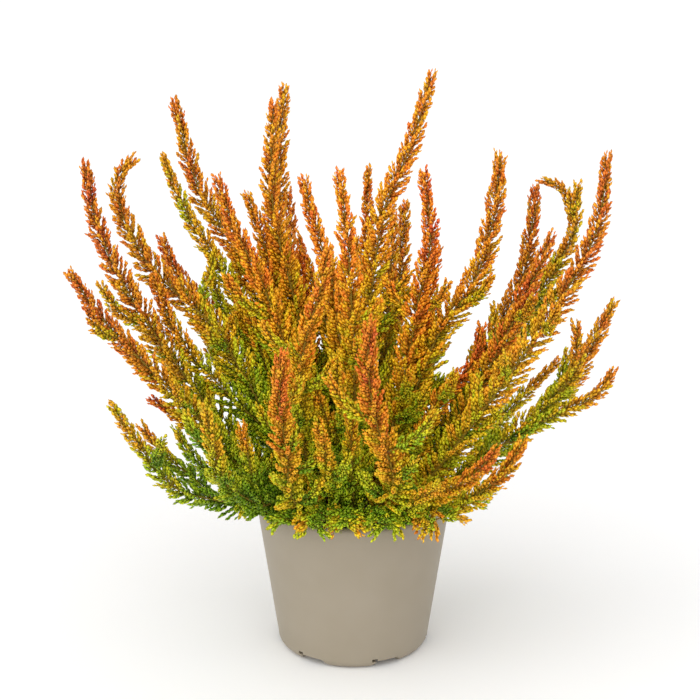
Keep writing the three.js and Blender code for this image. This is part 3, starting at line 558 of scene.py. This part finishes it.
def root_of(stem):
    """Where a stem would leave the soil by itself: a tall one is drawn in towards the crown the most."""
    if "root" in stem:
        return np.array(stem["root"], float)
    low, tip = np.array(stem["path"][0], float), np.array(stem["path"][-1], float)
    back = (low[2] - SOIL_TOP) / (tip[2] - low[2] + ROOT_AIM_SLACK)
    tallness = (tip[2] - SOIL_TOP) / TALLEST_RISE
    draw_in = LOW_ROOT_SHARE + (TALL_ROOT_SHARE - LOW_ROOT_SHARE) * tallness
    return clamp_length((low + (low - tip) * back)[:2] * draw_in, STEM_SPREAD_AT_SOIL)


def plant_roots(stems):
    """The roots of all stems, eased apart until no two stand too close."""
    roots = [root_of(stem).tolist() for stem in stems]
    for _ in range(ROOT_ROUNDS):
        for a, one in enumerate(roots):
            for other in roots[a + 1:]:
                dx, dy = other[0] - one[0], other[1] - one[1]
                distance = math.hypot(dx, dy)
                if distance < STEM_SPACING_AT_SOIL:
                    push = (STEM_SPACING_AT_SOIL - distance) / 2 / distance
                    one[0] -= dx * push
                    one[1] -= dy * push
                    other[0] += dx * push
                    other[1] += dy * push
        for root in roots:
            root[:] = clamp_length(np.array(root), STEM_SPREAD_AT_SOIL).tolist()
    return roots


def easy_path(points, steps, setback=0):
    """Even steps along a centripetal Catmull-Rom curve through points, to a setback from its end."""
    points = [np.array(point, float) for point in points]
    points = [2 * points[0] - points[1]] + points + [2 * points[-1] - points[-2]]

    def at(share):
        place = share * (len(points) - 3)
        start = min(int(place), len(points) - 4)
        weight = place - start
        p0, p1, p2, p3 = points[start:start + 4]
        gap0, gap1, gap2 = [np.linalg.norm(b - a) ** 0.5 for a, b in ((p0, p1), (p1, p2), (p2, p3))]
        gap1 = gap1 if gap1 >= LEAST_GAP else 1
        gap0 = gap0 if gap0 >= LEAST_GAP else gap1
        gap2 = gap2 if gap2 >= LEAST_GAP else gap1
        slope1 = ((p1 - p0) / gap0 - (p2 - p0) / (gap0 + gap1) + (p2 - p1) / gap1) * gap1
        slope2 = ((p2 - p1) / gap1 - (p3 - p1) / (gap1 + gap2) + (p3 - p2) / gap2) * gap1
        square = -3 * p1 + 3 * p2 - 2 * slope1 - slope2
        cube = 2 * p1 - 2 * p2 + slope1 + slope2
        return p1 + weight * (slope1 + weight * (square + weight * cube))

    shares = np.linspace(0, 1, TRACE_STEPS + 1)
    traced = np.array([at(share) for share in shares])
    along = np.concatenate([[0], np.cumsum(np.linalg.norm(np.diff(traced, axis=0), axis=1))])
    even = np.interp(np.linspace(0, along[-1] - setback, steps + 1), along, shares)
    return np.array([at(share) for share in even]), along[-1] - setback


def foliage_radius(from_tip, girth):
    """How far the foliage stands out from its stem: it grows from the tip down."""
    grown_share = 1 - np.exp(-from_tip / RADIUS_GROWTH_LENGTH)
    return (TIP_RADIUS + (FULL_RADIUS - TIP_RADIUS) * grown_share) * girth


def stem_axes(stems):
    """The axis of every stem, before they are bent clear of each other."""
    rooted = [stem for stem in stems if "on" not in stem]
    roots = plant_roots(rooted)
    axes = []
    for stem in stems:
        parent = next((axis for axis in axes if axis["name"] == stem.get("on")), None)
        if parent:
            fork = math.floor(stem["share"] * PATH_STEPS + 0.5)
            start = parent["points"][fork]
        else:
            fork = 0
            start = (*roots[rooted.index(stem)], SOIL_TOP + BEND_START)
        points, length = easy_path([start, *stem["path"]], PATH_STEPS)
        girth = stem.get("girth", 1)
        from_tip = length * (1 - np.arange(PATH_STEPS + 1) / PATH_STEPS)
        room = np.minimum(ROOM_PER_RADIUS * foliage_radius(from_tip, girth),
                          ROOM_AT_SOIL + ROOM_GAINED_PER_RISE * np.maximum(0, points[:, 2] - SOIL_TOP))
        axes.append({"name": stem["name"], "node": stem.get("on", stem["name"]), "parent": parent,
                     "fork": fork, "points": points, "room": room, "girth": girth,
                     "tint": stem.get("tint", "orange"), "ripeness": RIPENESS[stem.get("tint", "orange")]})
    return axes


def push_from_pot(points):
    """How points have to move to clear the pot: up over the rim from inside, outwards from the wall."""
    radius = np.hypot(points[:, 0], points[:, 1])
    inside = radius < RIM_RADIUS + BEND_START
    inwards = np.maximum(0, RIM_RADIUS - RIM_LANE - radius)
    lowest = np.maximum(SOIL_TOP + BEND_START, POT_HEIGHT + RIM_CLEARANCE - RIM_LANE_SLOPE * inwards)
    push = np.zeros_like(points)
    push[:, 2] = np.where(inside, np.maximum(0, lowest - points[:, 2]), 0)
    above = np.maximum(0, points[:, 2] - POT_HEIGHT)
    shortfall = np.maximum(0, RIM_CLEARANCE - np.hypot(above, radius - RIM_RADIUS))
    outwards = np.where(inside, 0, shortfall / np.maximum(radius, 1))
    push[:, :2] = points[:, :2] * outwards[:, None]
    return push


def bend_clear(axes):
    """Bends the stems clear of each other and of the pot, as smooth curves. Branches move with their stem."""
    nodes = sorted({axis["node"] for axis in axes})
    owner = np.repeat([nodes.index(axis["node"]) for axis in axes], PATH_STEPS)
    room = np.concatenate([axis["room"][1:] for axis in axes])
    wanted = np.where(owner[:, None] == owner[None, :], 0, (room[:, None] + room[None, :]) / 2)
    weight = np.tile(np.minimum(1, np.arange(1, PATH_STEPS + 1) / STIFF_STEPS), len(axes))[:, None]
    for _ in range(BEND_ROUNDS):
        for axis in axes:
            if axis["parent"]:
                axis["points"][0] = axis["parent"]["points"][axis["fork"]]
        points = np.concatenate([axis["points"][1:] for axis in axes])
        square = (points ** 2).sum(1)
        squares = square[:, None] + square[None, :] - 2 * points @ points.T
        distance = np.sqrt(np.maximum(squares, LEAST_SQUARE))
        share = np.maximum(0, wanted - distance) / distance
        shifts = BEND_EASE * weight * (points * share.sum(1)[:, None] - share @ points)
        for order, axis in enumerate(axes):
            line = axis["points"]
            shift = np.zeros_like(line)
            shift[1:] = shifts[order * PATH_STEPS:(order + 1) * PATH_STEPS] + push_from_pot(line)[1:]
            half_push = push_from_pot((line[1:] + line[:-1]) / 2)
            shift[1:] += half_push / 2
            shift[:-1] += half_push / 2
            shift[0] = 0
            for _ in range(SMOOTHING_PASSES):
                ahead = np.concatenate([shift[2:], shift[-1:]])
                shift[1:] = shift[1:] / 2 + (shift[:-1] + ahead) / 4
            line += shift


axes = stem_axes(STEMS + back_stems())
bend_clear(axes)


# The foliage: every stem is set all round with short side shoots, in pairs that each turn a quarter from
# the last, and every shoot is covered by four ranks of tiny keeled scale leaves that overlap like tiles.
AXIS_STEPS = 60
BARK_SIDES = 6
SHOOT_SPACING = 0.95
SHOOT_STEPS = 5
SHOOT_BOW_MIDDLE = (0.04, 0, 0.5)
SHOOT_BOW_END = (-0.12, 0, 1)
SHOOT_TURN_SPREAD = 0.14  # radians
SHOOT_PAIR_DRIFT = 0.11  # radians
SHOOT_LEAN_SPREAD = (0.88, 1.12)
SHOOT_LENGTH_SPREAD = (0.85, 1.12)
LEAF_SPACING = 1.05
LEAF_LENGTH = 4.2
LEAF_HALF_WIDTH = 1.2
LEAF_ROOT_OFFSET = 0.4
LEAF_SIDE_OFFSET = 0.5
LEAF_KEEL_OFFSET = 1.5
LEAF_TIP_OFFSET = 0.9
LEAF_WIDEST = 0.62
# Each leaf is painted lighter towards its keel, a painted highlight: LEAF_RIDGE gives that share at each
# corner.
LEAF_RIDGE = (0.2, 0, 0, 1, 0.8)
LEAF_ALONG = (0, LEAF_WIDEST, LEAF_WIDEST, LEAF_WIDEST, 1)
LEAF_TURN_SPREAD = 0.1  # radians
LEAF_SIZE_SPREAD = (0.85, 1.1)
LEAF_PAST_SHOOT = 0.7
PLUMPING = 1.4
YOUNG_LEAF_SIZE = 0.84
LEAF_GROWTH_LENGTH = 40
SHORTEST_SHOOT = 1
TIP_LEAN = 26
FULL_LEAN = 52
LEAN_GROWTH_LENGTH = 40
TIP_SETBACK = 7
HANGING_TIP_SETBACK = 15
BARE_ABOVE_SOIL = 8
BARE_ABOVE_FORK = 2
TWIG_TIP_RADIUS = 0.4
TWIG_RADIUS_PER_LENGTH = 0.0026
RIPE_SHARE = 0.15
TURNING_SHARE = 0.55
STEM_TONE_SPREAD = 0.07
SEED_STEP = 10
SHADY_SIDE = (-0.9, 0.1)
SHADE_TOP = 240
SHADE_DEPTH = 110
SHADE_GREENING = 0.31
LEAST_SHADE = 0.4
LOW_TIP = 190
LOW_DEPTH = 80
LOW_GREENING = 0.2
LOW_GREENING_LOST = 0.6
SPRAY_RISES = (16, 34, 54, 78, 104)
SPRAY_LENGTH = 38
SPRAY_LENGTH_SPREAD = 10
SPRAY_COURSE = ((0.4, 0.25), (0.68, 0.68))
SPRAY_TURN = 110
SPRAY_BOUNDS = ((-150, -94, 0), (150, 94, 350))
SPRAY_GIRTH = 0.8
SPRAY_RIPENESS = (0.34, 0.18)
SPRAY_RIPENESS_PER_RISE = 0.0025
RIM_SPRAY_STEPS = (5, 8, 11)
RIM_SPRAY_LENGTH = 21
RIM_SPRAY_COURSE = ((0.5, 0.3, 0.1), (0.9, 0.4, -0.2))
RIM_SPRAY_GIRTH = 0.95
UP = np.array([0, 0, 1])


def hangs(axis):
    """Whether a stem or a branch ends below the pot's rim."""
    return axis["points"][-1, 2] < POT_HEIGHT


def spray(axis, fork, path, girth, ripeness):
    """One more branch of an axis, from its step fork along a path."""
    points, _ = easy_path([axis["points"][fork], *path], PATH_STEPS)
    return {**axis, "parent": axis, "points": points, "girth": girth, "ripeness": ripeness}


def side_sprays(axis, rng):
    """Short green sprays low on a tall stem, which fill the bush between the stems above the rim."""
    sprays = []
    line = axis["points"]
    for rise in SPRAY_RISES:
        fork = int(np.searchsorted(line[:, 2], POT_HEIGHT + rise))
        if fork > PATH_STEPS or line[-1, 2] < POT_HEIGHT + rise + SPRAY_LENGTH:
            continue
        turn = math.atan2(line[fork, 1], line[fork, 0]) + math.radians(rng.uniform(-SPRAY_TURN, SPRAY_TURN))
        out = np.array([math.cos(turn), math.sin(turn), 0])
        length = SPRAY_LENGTH + rng.uniform(-SPRAY_LENGTH_SPREAD, SPRAY_LENGTH_SPREAD)
        path = [np.clip(line[fork] + (outwards * out + upwards * UP) * length, *SPRAY_BOUNDS)
                for outwards, upwards in SPRAY_COURSE]
        ripeness = [value + SPRAY_RIPENESS_PER_RISE * rise for value in SPRAY_RIPENESS]
        sprays.append(spray(axis, fork, path, SPRAY_GIRTH, ripeness))
    return sprays


def rim_sprays(axis):
    """Short sprays to both sides of a shoot that hangs over the rim, which lie along the rim."""
    sprays = []
    for fork in RIM_SPRAY_STEPS:
        start = axis["points"][fork]
        out = np.array([start[0], start[1], 0]) / np.hypot(start[0], start[1])
        for side in (np.cross(UP, out), np.cross(out, UP)):
            path = [start + (sideways * side + outwards * out + upwards * UP) * RIM_SPRAY_LENGTH
                    for sideways, outwards, upwards in RIM_SPRAY_COURSE]
            sprays.append(spray(axis, fork, path, RIM_SPRAY_GIRTH, axis["ripeness"]))
    return sprays


def scale_leaf():
    """One plump keeled scale leaf of six faces, with its root on the shoot's axis."""
    middle = LEAF_WIDEST * LEAF_LENGTH
    points = [(LEAF_ROOT_OFFSET, 0, 0), (LEAF_SIDE_OFFSET, LEAF_HALF_WIDTH, middle),
              (LEAF_SIDE_OFFSET, -LEAF_HALF_WIDTH, middle), (LEAF_KEEL_OFFSET, 0, middle),
              (LEAF_TIP_OFFSET, 0, LEAF_LENGTH)]
    faces = [(0, 3, 1), (0, 2, 3), (0, 1, 2), (4, 1, 3), (4, 3, 2), (4, 2, 1)]
    mesh = bpy.data.meshes.new("scale_leaf")
    mesh.from_pydata([[value * MM for value in point] for point in points], [], faces)
    shell = bmesh.new()
    shell.from_mesh(mesh)
    bmesh.ops.recalc_face_normals(shell, faces=shell.faces)
    for face in shell.faces:
        face.smooth = True
    shell.to_mesh(mesh)
    shell.free()
    for word, values in (("ridge", LEAF_RIDGE), ("along", LEAF_ALONG)):
        mesh.attributes.new(word, "FLOAT", "POINT").data.foreach_set("value", values)
    return new_object("scale_leaf", mesh)


def leafy_stem_tree():
    """Makes a woody stem with its leafy shoots from a line that knows how each changes along it."""
    tree = empty_tree("leafy stem", {"Shoot spacing": "Float", "Leaf spacing": "Float", "Leaf": "Object",
                                     "Seed": "Int", "Bark": "Material", "Foliage": "Material"})
    given = add_node(tree, "NodeGroupInput").outputs
    index = add_node(tree, "GeometryNodeInputIndex").outputs["Index"]
    known = {}
    for word in ("thickness", "shoot_length", "lean", "leaf_size"):
        attribute = add_node(tree, "GeometryNodeInputNamedAttribute", {"Name": word}, data_type="FLOAT")
        known[word] = attribute.outputs[0]

    def draw(low, high, offset):
        """A random number for each point, from the stem's seed with an offset of its own."""
        seed = add_node(tree, "ShaderNodeMath", {0: given["Seed"], 1: offset}, operation="ADD")
        return add_node(tree, "FunctionNodeRandomValue",
                        {2: low, 3: high, "ID": index, "Seed": seed.outputs[0]}).outputs[1]

    def opposite_pairs(spread, drift, offset):
        """Turns each second one by a half and each next pair by a quarter, with a drift and some chance."""
        halves = add_node(tree, "ShaderNodeMath", {0: index, 1: 2.0}, operation="DIVIDE")
        pair = add_node(tree, "ShaderNodeMath", {0: halves.outputs[0]}, operation="FLOOR")
        quarters = add_node(tree, "ShaderNodeMath", {0: pair.outputs[0], 1: math.pi / 2 + drift},
                            operation="MULTIPLY")
        even = add_node(tree, "ShaderNodeMath", {0: index, 1: math.pi, 2: quarters.outputs[0]},
                        operation="MULTIPLY_ADD")
        return add_node(tree, "ShaderNodeMath", {0: even.outputs[0], 1: draw(-spread, spread, offset)},
                        operation="ADD").outputs[0]

    def varied(value, spread, offset):
        """A value times a random factor from a spread."""
        return add_node(tree, "ShaderNodeMath", {0: value, 1: draw(*spread, offset)},
                        operation="MULTIPLY").outputs[0]

    def turned_by(rotation, axis, angle):
        """A rotation with one more turn, by an angle about one of its own axes."""
        turn = add_node(tree, "FunctionNodeAxisAngleToRotation", {"Axis": axis, "Angle": angle})
        return add_node(tree, "FunctionNodeRotateRotation",
                        {"Rotation": rotation, "Rotate By": turn.outputs[0]},
                        rotation_space="LOCAL").outputs[0]

    line = add_node(tree, "GeometryNodeMeshToCurve", {"Mesh": given["Geometry"]}).outputs["Curve"]
    ring = add_node(tree, "GeometryNodeCurvePrimitiveCircle", {"Resolution": BARK_SIDES, "Radius": 1.0})
    wood = add_node(tree, "GeometryNodeCurveToMesh",
                    {"Curve": line, "Profile Curve": ring.outputs["Curve"], "Scale": known["thickness"],
                     "Fill Caps": True})
    bark = add_node(tree, "GeometryNodeSetMaterial",
                    {"Geometry": wood.outputs["Mesh"], "Material": given["Bark"]})

    nodes = add_node(tree, "GeometryNodeCurveToPoints", {"Curve": line, "Length": given["Shoot spacing"]},
                     mode="LENGTH")
    bare = add_node(tree, "FunctionNodeCompare", {0: known["shoot_length"], 1: SHORTEST_SHOOT / 2 * MM},
                    operation="LESS_THAN")
    leafy = add_node(tree, "GeometryNodeDeleteGeometry",
                     {"Geometry": nodes.outputs["Points"], "Selection": bare.outputs["Result"]})
    toned = add_node(tree, "GeometryNodeStoreNamedAttribute",
                     {"Geometry": leafy.outputs["Geometry"], "Name": "tone", "Value": draw(0.0, 1.0, 1)},
                     data_type="FLOAT", domain="POINT")
    out = turned_by(nodes.outputs["Rotation"], (0, 0, 1),
                    opposite_pairs(SHOOT_TURN_SPREAD, SHOOT_PAIR_DRIFT, 2))
    leaning = turned_by(out, (0, 1, 0), varied(known["lean"], SHOOT_LEAN_SPREAD, 3))
    bow = add_node(tree, "GeometryNodeCurveQuadraticBezier",
                   {"Resolution": SHOOT_STEPS, "Start": (0, 0, 0), "Middle": SHOOT_BOW_MIDDLE,
                    "End": SHOOT_BOW_END})
    shoots = add_node(tree, "GeometryNodeInstanceOnPoints",
                      {"Points": toned.outputs["Geometry"], "Instance": bow.outputs["Curve"],
                       "Rotation": leaning, "Scale": varied(known["shoot_length"], SHOOT_LENGTH_SPREAD, 4)})
    shoot_lines = add_node(tree, "GeometryNodeRealizeInstances", {"Geometry": shoots.outputs["Instances"]})
    factor = add_node(tree, "GeometryNodeSplineParameter").outputs["Factor"]
    measured = add_node(tree, "GeometryNodeStoreNamedAttribute",
                        {"Geometry": shoot_lines.outputs["Geometry"], "Name": "reach", "Value": factor},
                        data_type="FLOAT", domain="POINT")
    seats = add_node(tree, "GeometryNodeCurveToPoints",
                     {"Curve": measured.outputs["Geometry"], "Length": given["Leaf spacing"]},
                     mode="LENGTH")
    facing = turned_by(seats.outputs["Rotation"], (0, 0, 1), opposite_pairs(LEAF_TURN_SPREAD, 0.0, 5))
    leaf = add_node(tree, "GeometryNodeObjectInfo", {"Object": given["Leaf"]})
    leaves = add_node(tree, "GeometryNodeInstanceOnPoints",
                      {"Points": seats.outputs["Points"], "Instance": leaf.outputs["Geometry"],
                       "Rotation": facing, "Scale": varied(known["leaf_size"], LEAF_SIZE_SPREAD, 6)})
    foliage = add_node(tree, "GeometryNodeRealizeInstances", {"Geometry": leaves.outputs["Instances"]})
    green = add_node(tree, "GeometryNodeSetMaterial",
                     {"Geometry": foliage.outputs["Geometry"], "Material": given["Foliage"]})
    join = add_node(tree, "GeometryNodeJoinGeometry", {"Geometry": bark.outputs["Geometry"]})
    tree.links.new(green.outputs["Geometry"], join.inputs["Geometry"])
    add_node(tree, "NodeGroupOutput", {"Geometry": join.outputs["Geometry"]})
    return tree


def stem_line(name, own, tone):
    """The lines of a stem and its branches as one mesh of edges, which knows how each changes along it."""
    points, edges = [], []
    known = {"thickness": [], "shoot_length": [], "lean": [], "leaf_size": [], "ripeness": []}
    for axis in own:
        setback = HANGING_TIP_SETBACK if hangs(axis) else TIP_SETBACK
        line, length = easy_path(axis["points"], AXIS_STEPS, setback)
        from_tip = np.linspace(length, 0, AXIS_STEPS + 1)
        if not axis["parent"]:
            foot = line[0] - (0, 0, BEND_START + STEM_HOLE_DEPTH - SOIL_GAP)
            line = np.concatenate([[foot], line])
            from_tip = np.concatenate([[length + STEM_HOLE_DEPTH], from_tip])
        bare = BARE_ABOVE_FORK if axis["parent"] else BARE_ABOVE_SOIL
        lean = np.radians(FULL_LEAN + (TIP_LEAN - FULL_LEAN) * np.exp(-from_tip / LEAN_GROWTH_LENGTH))
        leaf_size = 1 + (YOUNG_LEAF_SIZE - 1) * np.exp(-from_tip / LEAF_GROWTH_LENGTH)
        reach = (foliage_radius(from_tip, axis["girth"]) + PLUMPING) / np.sin(lean)
        shoot_length = np.maximum(SHORTEST_SHOOT, reach - LEAF_PAST_SHOOT * LEAF_LENGTH * leaf_size)
        ripe_tip, ripe_foot = axis["ripeness"]
        turning = np.clip(1 - (from_tip / length - RIPE_SHARE) / TURNING_SHARE, 0, 1)
        thickness = np.minimum(STEM_RADIUS, TWIG_TIP_RADIUS + TWIG_RADIUS_PER_LENGTH * from_tip)
        known["thickness"] += list(thickness * MM)
        known["shoot_length"] += list(np.where(from_tip > length - bare, 0, shoot_length * MM))
        known["lean"] += list(lean)
        known["leaf_size"] += list(leaf_size)
        low = np.clip((SHADE_TOP - line[:, 2]) / SHADE_DEPTH, 0, 1)
        shady = np.clip(line[:, :2] @ SHADY_SIDE / STEM_SPREAD_AT_SOIL, LEAST_SHADE, 1)
        low_stem = np.clip((LOW_TIP - line[-1, 2]) / LOW_DEPTH, 0, 1)
        shade_greening = SHADE_GREENING * low * shady * (1 - turning)
        low_greening = LOW_GREENING * low_stem * (1 - LOW_GREENING_LOST * turning)
        ripeness = ripe_foot + (ripe_tip - ripe_foot) * turning + tone - (shade_greening + low_greening)
        known["ripeness"] += list(ripeness)
        start = len(points)
        points += list(line * MM)
        edges += [(step, step + 1) for step in range(start, len(points) - 1)]
    mesh = bpy.data.meshes.new(name)
    mesh.from_pydata(points, edges, [])
    for word, values in known.items():
        mesh.attributes.new(word, "FLOAT", "POINT").data.foreach_set("value", values)
    return new_object(name, mesh)


# Heather wood is thin, dull and red-brown at its bare foot, and still olive where it is in leaf.
BARK_FLAKE_SIZE = 1.5


def paint_bark(tree):
    ramp = add_node(tree, "ShaderNodeValToRGB", {"Fac": mottling(tree, BARK_FLAKE_SIZE, 3)})
    wood = ramp_colour(ramp, {0.35: "#4a2c18", 0.65: "#7a5030"})
    shoot_length = add_node(tree, "ShaderNodeAttribute", attribute_name="shoot_length").outputs["Fac"]
    young = add_node(tree, "ShaderNodeMapRange", {"Value": shoot_length, "From Max": SHORTEST_SHOOT * MM})
    skin = add_node(tree, "ShaderNodeMix", {"Factor": young.outputs[0], 6: wood, 7: linear("#98801e")},
                    data_type="RGBA")
    return {"Base Color": skin.outputs[2]}


# Living scale leaves are waxy, so that their keels catch the light, and each keel is also painted lighter
# than the sides of its leaf, a painted highlight. Each shoot is painted darker near its stem and lighter
# towards its end, painted shade and light, and the foliage is painted brighter near the pot's axis and
# darker on the outer stems, painted light and shade. The leaves ripen from green through gold and amber to
# red-brown towards the tips of the stems, and no two shoots are alike.
PATCH_SIZE = 14
PATCH_SPREAD = 0.36
SHOOT_TONE_SPREAD = 0.26
# Painted light and shade: the foliage is painted brighter near the pot's axis and darker on the outer stems,
# between these radii.
PAINTED_LIGHT_RADIUS = 40
PAINTED_SHADE_RADIUS = 120
TIP_BROWNING = 0.75


def paint_foliage(tree):
    known = {}
    for word in ("ripeness", "tone", "ridge", "reach", "along"):
        known[word] = add_node(tree, "ShaderNodeAttribute", attribute_name=word).outputs["Fac"]
    patchy = add_node(tree, "ShaderNodeMath",
                      {0: mottling(tree, PATCH_SIZE, 1), 1: PATCH_SPREAD, 2: -PATCH_SPREAD / 2},
                      operation="MULTIPLY_ADD")
    varying = add_node(tree, "ShaderNodeMath",
                       {0: known["tone"], 1: SHOOT_TONE_SPREAD, 2: -SHOOT_TONE_SPREAD / 2},
                       operation="MULTIPLY_ADD")
    uneven = add_node(tree, "ShaderNodeMath", {0: varying.outputs[0], 1: patchy.outputs[0]}, operation="ADD")
    ripe = add_node(tree, "ShaderNodeMath", {0: known["ripeness"], 1: uneven.outputs[0]}, operation="ADD")
    ramp = add_node(tree, "ShaderNodeValToRGB", {"Fac": ripe.outputs[0]})
    base = ramp_colour(ramp, {0.0: "#6f9414", 0.2: "#a0b81a", 0.36: "#ccc81c", 0.5: "#e4b81a",
                              0.66: "#ea9e20", 0.82: "#e27c22", 1.0: "#cc5030"})
    # Painted highlight: each leaf is painted lighter along its keel than at its sides.
    keel = add_node(tree, "ShaderNodeMapRange", {"Value": known["ridge"], "To Min": 0.95, "To Max": 1.4})
    # Painted shade and light: each shoot is painted darker near its stem and lighter towards its end.
    depth = add_node(tree, "ShaderNodeMapRange", {"Value": known["reach"], "To Min": 0.55, "To Max": 1.3})
    # Painted light and shade: the foliage is painted brighter near the pot's axis and darker on the outer
    # stems.
    place = add_node(tree, "ShaderNodeTexCoord").outputs["Object"]
    across = add_node(tree, "ShaderNodeVectorMath", {0: place, 1: (1, 1, 0)}, operation="MULTIPLY")
    outwards = add_node(tree, "ShaderNodeVectorMath", {0: across.outputs[0]}, operation="LENGTH")
    painted_light_by_radius = add_node(tree, "ShaderNodeMapRange",
                      {"Value": outwards.outputs["Value"], "From Min": PAINTED_LIGHT_RADIUS * MM,
                       "From Max": PAINTED_SHADE_RADIUS * MM, "To Min": 1.12, "To Max": 0.9})
    # The painted keel highlight and the painted shade near each stem, then the painted light by radius, scale
    # the colour.
    painted_keel_and_depth_light = add_node(tree, "ShaderNodeMath", {0: keel.outputs[0], 1: depth.outputs[0]}, operation="MULTIPLY")
    shade = add_node(tree, "ShaderNodeMath", {0: painted_keel_and_depth_light.outputs[0], 1: painted_light_by_radius.outputs[0]},
                     operation="MULTIPLY")
    shaded = add_node(tree, "ShaderNodeVectorMath", {0: base, "Scale": shade.outputs[0]}, operation="SCALE")
    at_end = add_node(tree, "ShaderNodeMapRange",
                      {"Value": known["reach"], "From Min": 0.7, "From Max": 1.0, "To Max": TIP_BROWNING})
    at_tip = add_node(tree, "ShaderNodeMapRange", {"Value": known["along"], "From Min": 0.6, "From Max": 1.0})
    browned = add_node(tree, "ShaderNodeMath", {0: at_end.outputs[0], 1: at_tip.outputs[0]},
                       operation="MULTIPLY")
    brown = add_node(tree, "ShaderNodeMix", {"Factor": browned.outputs[0], 6: shaded.outputs[0],
                                             7: linear("#7a3c14")}, data_type="RGBA")
    return {"Base Color": brown.outputs[2]}


bark = surface("young_heather_bark", paint_bark, **{"Roughness": 0.8})
foliage = surface("waxy_scale_leaves", paint_foliage, **{"Roughness": 0.45, "Specular IOR Level": 0.3})
leaf = scale_leaf()
stem_tree = leafy_stem_tree()
for seed, name in enumerate(dict.fromkeys(axis["node"] for axis in axes)):
    own = [axis for axis in axes if axis["node"] == name]
    rng = random.Random(seed)
    tone = rng.uniform(-STEM_TONE_SPREAD, STEM_TONE_SPREAD)
    own += rim_sprays(own[0]) if hangs(own[0]) else side_sprays(own[0], rng)
    stem = stem_line("leafy_" + name, own, tone)
    stem.data = grown(stem, stem_tree, {
        "Shoot spacing": SHOOT_SPACING * MM, "Leaf spacing": LEAF_SPACING * MM, "Leaf": leaf,
        "Seed": seed * SEED_STEP, "Bark": bark, "Foliage": foliage})
    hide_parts(name)
    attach(stem, "root")
bpy.data.objects.remove(leaf)


# The studio: a plain white floor that the pot stands on, a bright even surround, and one large softbox
# high up at the front left, so far away that it lights the whole floor alike.
FLOOR_SIZE = 14000
SURROUND_STRENGTH = 0.76
SOFTBOX_STRENGTH = 1.7
SOFTBOX_ANGLE = 100
SOFTBOX_FROM = (-0.5, -0.95, 0.9)
EYE = (-2, -1100, 536)
TARGET = (-2, 0, 190)
FOCAL_PIXELS = 1910
FRAME_PIXELS = 700
SENSOR_WIDTH = 36

floor_mesh = bpy.data.meshes.new("floor")
half = FLOOR_SIZE / 2 * MM
corners = [(-half, -half, 0), (half, -half, 0), (half, half, 0), (-half, half, 0)]
floor_mesh.from_pydata(corners, [], [(0, 1, 2, 3)])
floor_mesh.materials.append(surface("white_studio_board", lambda tree: {}, **{
    "Base Color": linear("#ffffff"), "Roughness": 0.9, "Specular IOR Level": 0.1}))
floor = new_object("floor", floor_mesh)

world = bpy.data.worlds.new("studio")
world.use_nodes = True
surround = world.node_tree.nodes["Background"]
surround.inputs["Color"].default_value = linear("#ffffff")
surround.inputs["Strength"].default_value = SURROUND_STRENGTH
bpy.context.scene.world = world
bpy.context.scene.view_settings.view_transform = "Standard"

lamp = bpy.data.lights.new("softbox", "SUN")
lamp.energy = SOFTBOX_STRENGTH
lamp.angle = math.radians(SOFTBOX_ANGLE)
softbox = new_object("softbox", lamp)
softbox.rotation_euler = Vector(SOFTBOX_FROM).to_track_quat("Z", "Y").to_euler()

camera = new_object("camera", bpy.data.cameras.new("camera"))
camera.location = Vector(EYE) * MM
camera.rotation_euler = (Vector(EYE) - Vector(TARGET)).to_track_quat("Z", "Y").to_euler()
camera.data.sensor_width = SENSOR_WIDTH
camera.data.lens = SENSOR_WIDTH * FOCAL_PIXELS / FRAME_PIXELS
bpy.context.scene.camera = camera
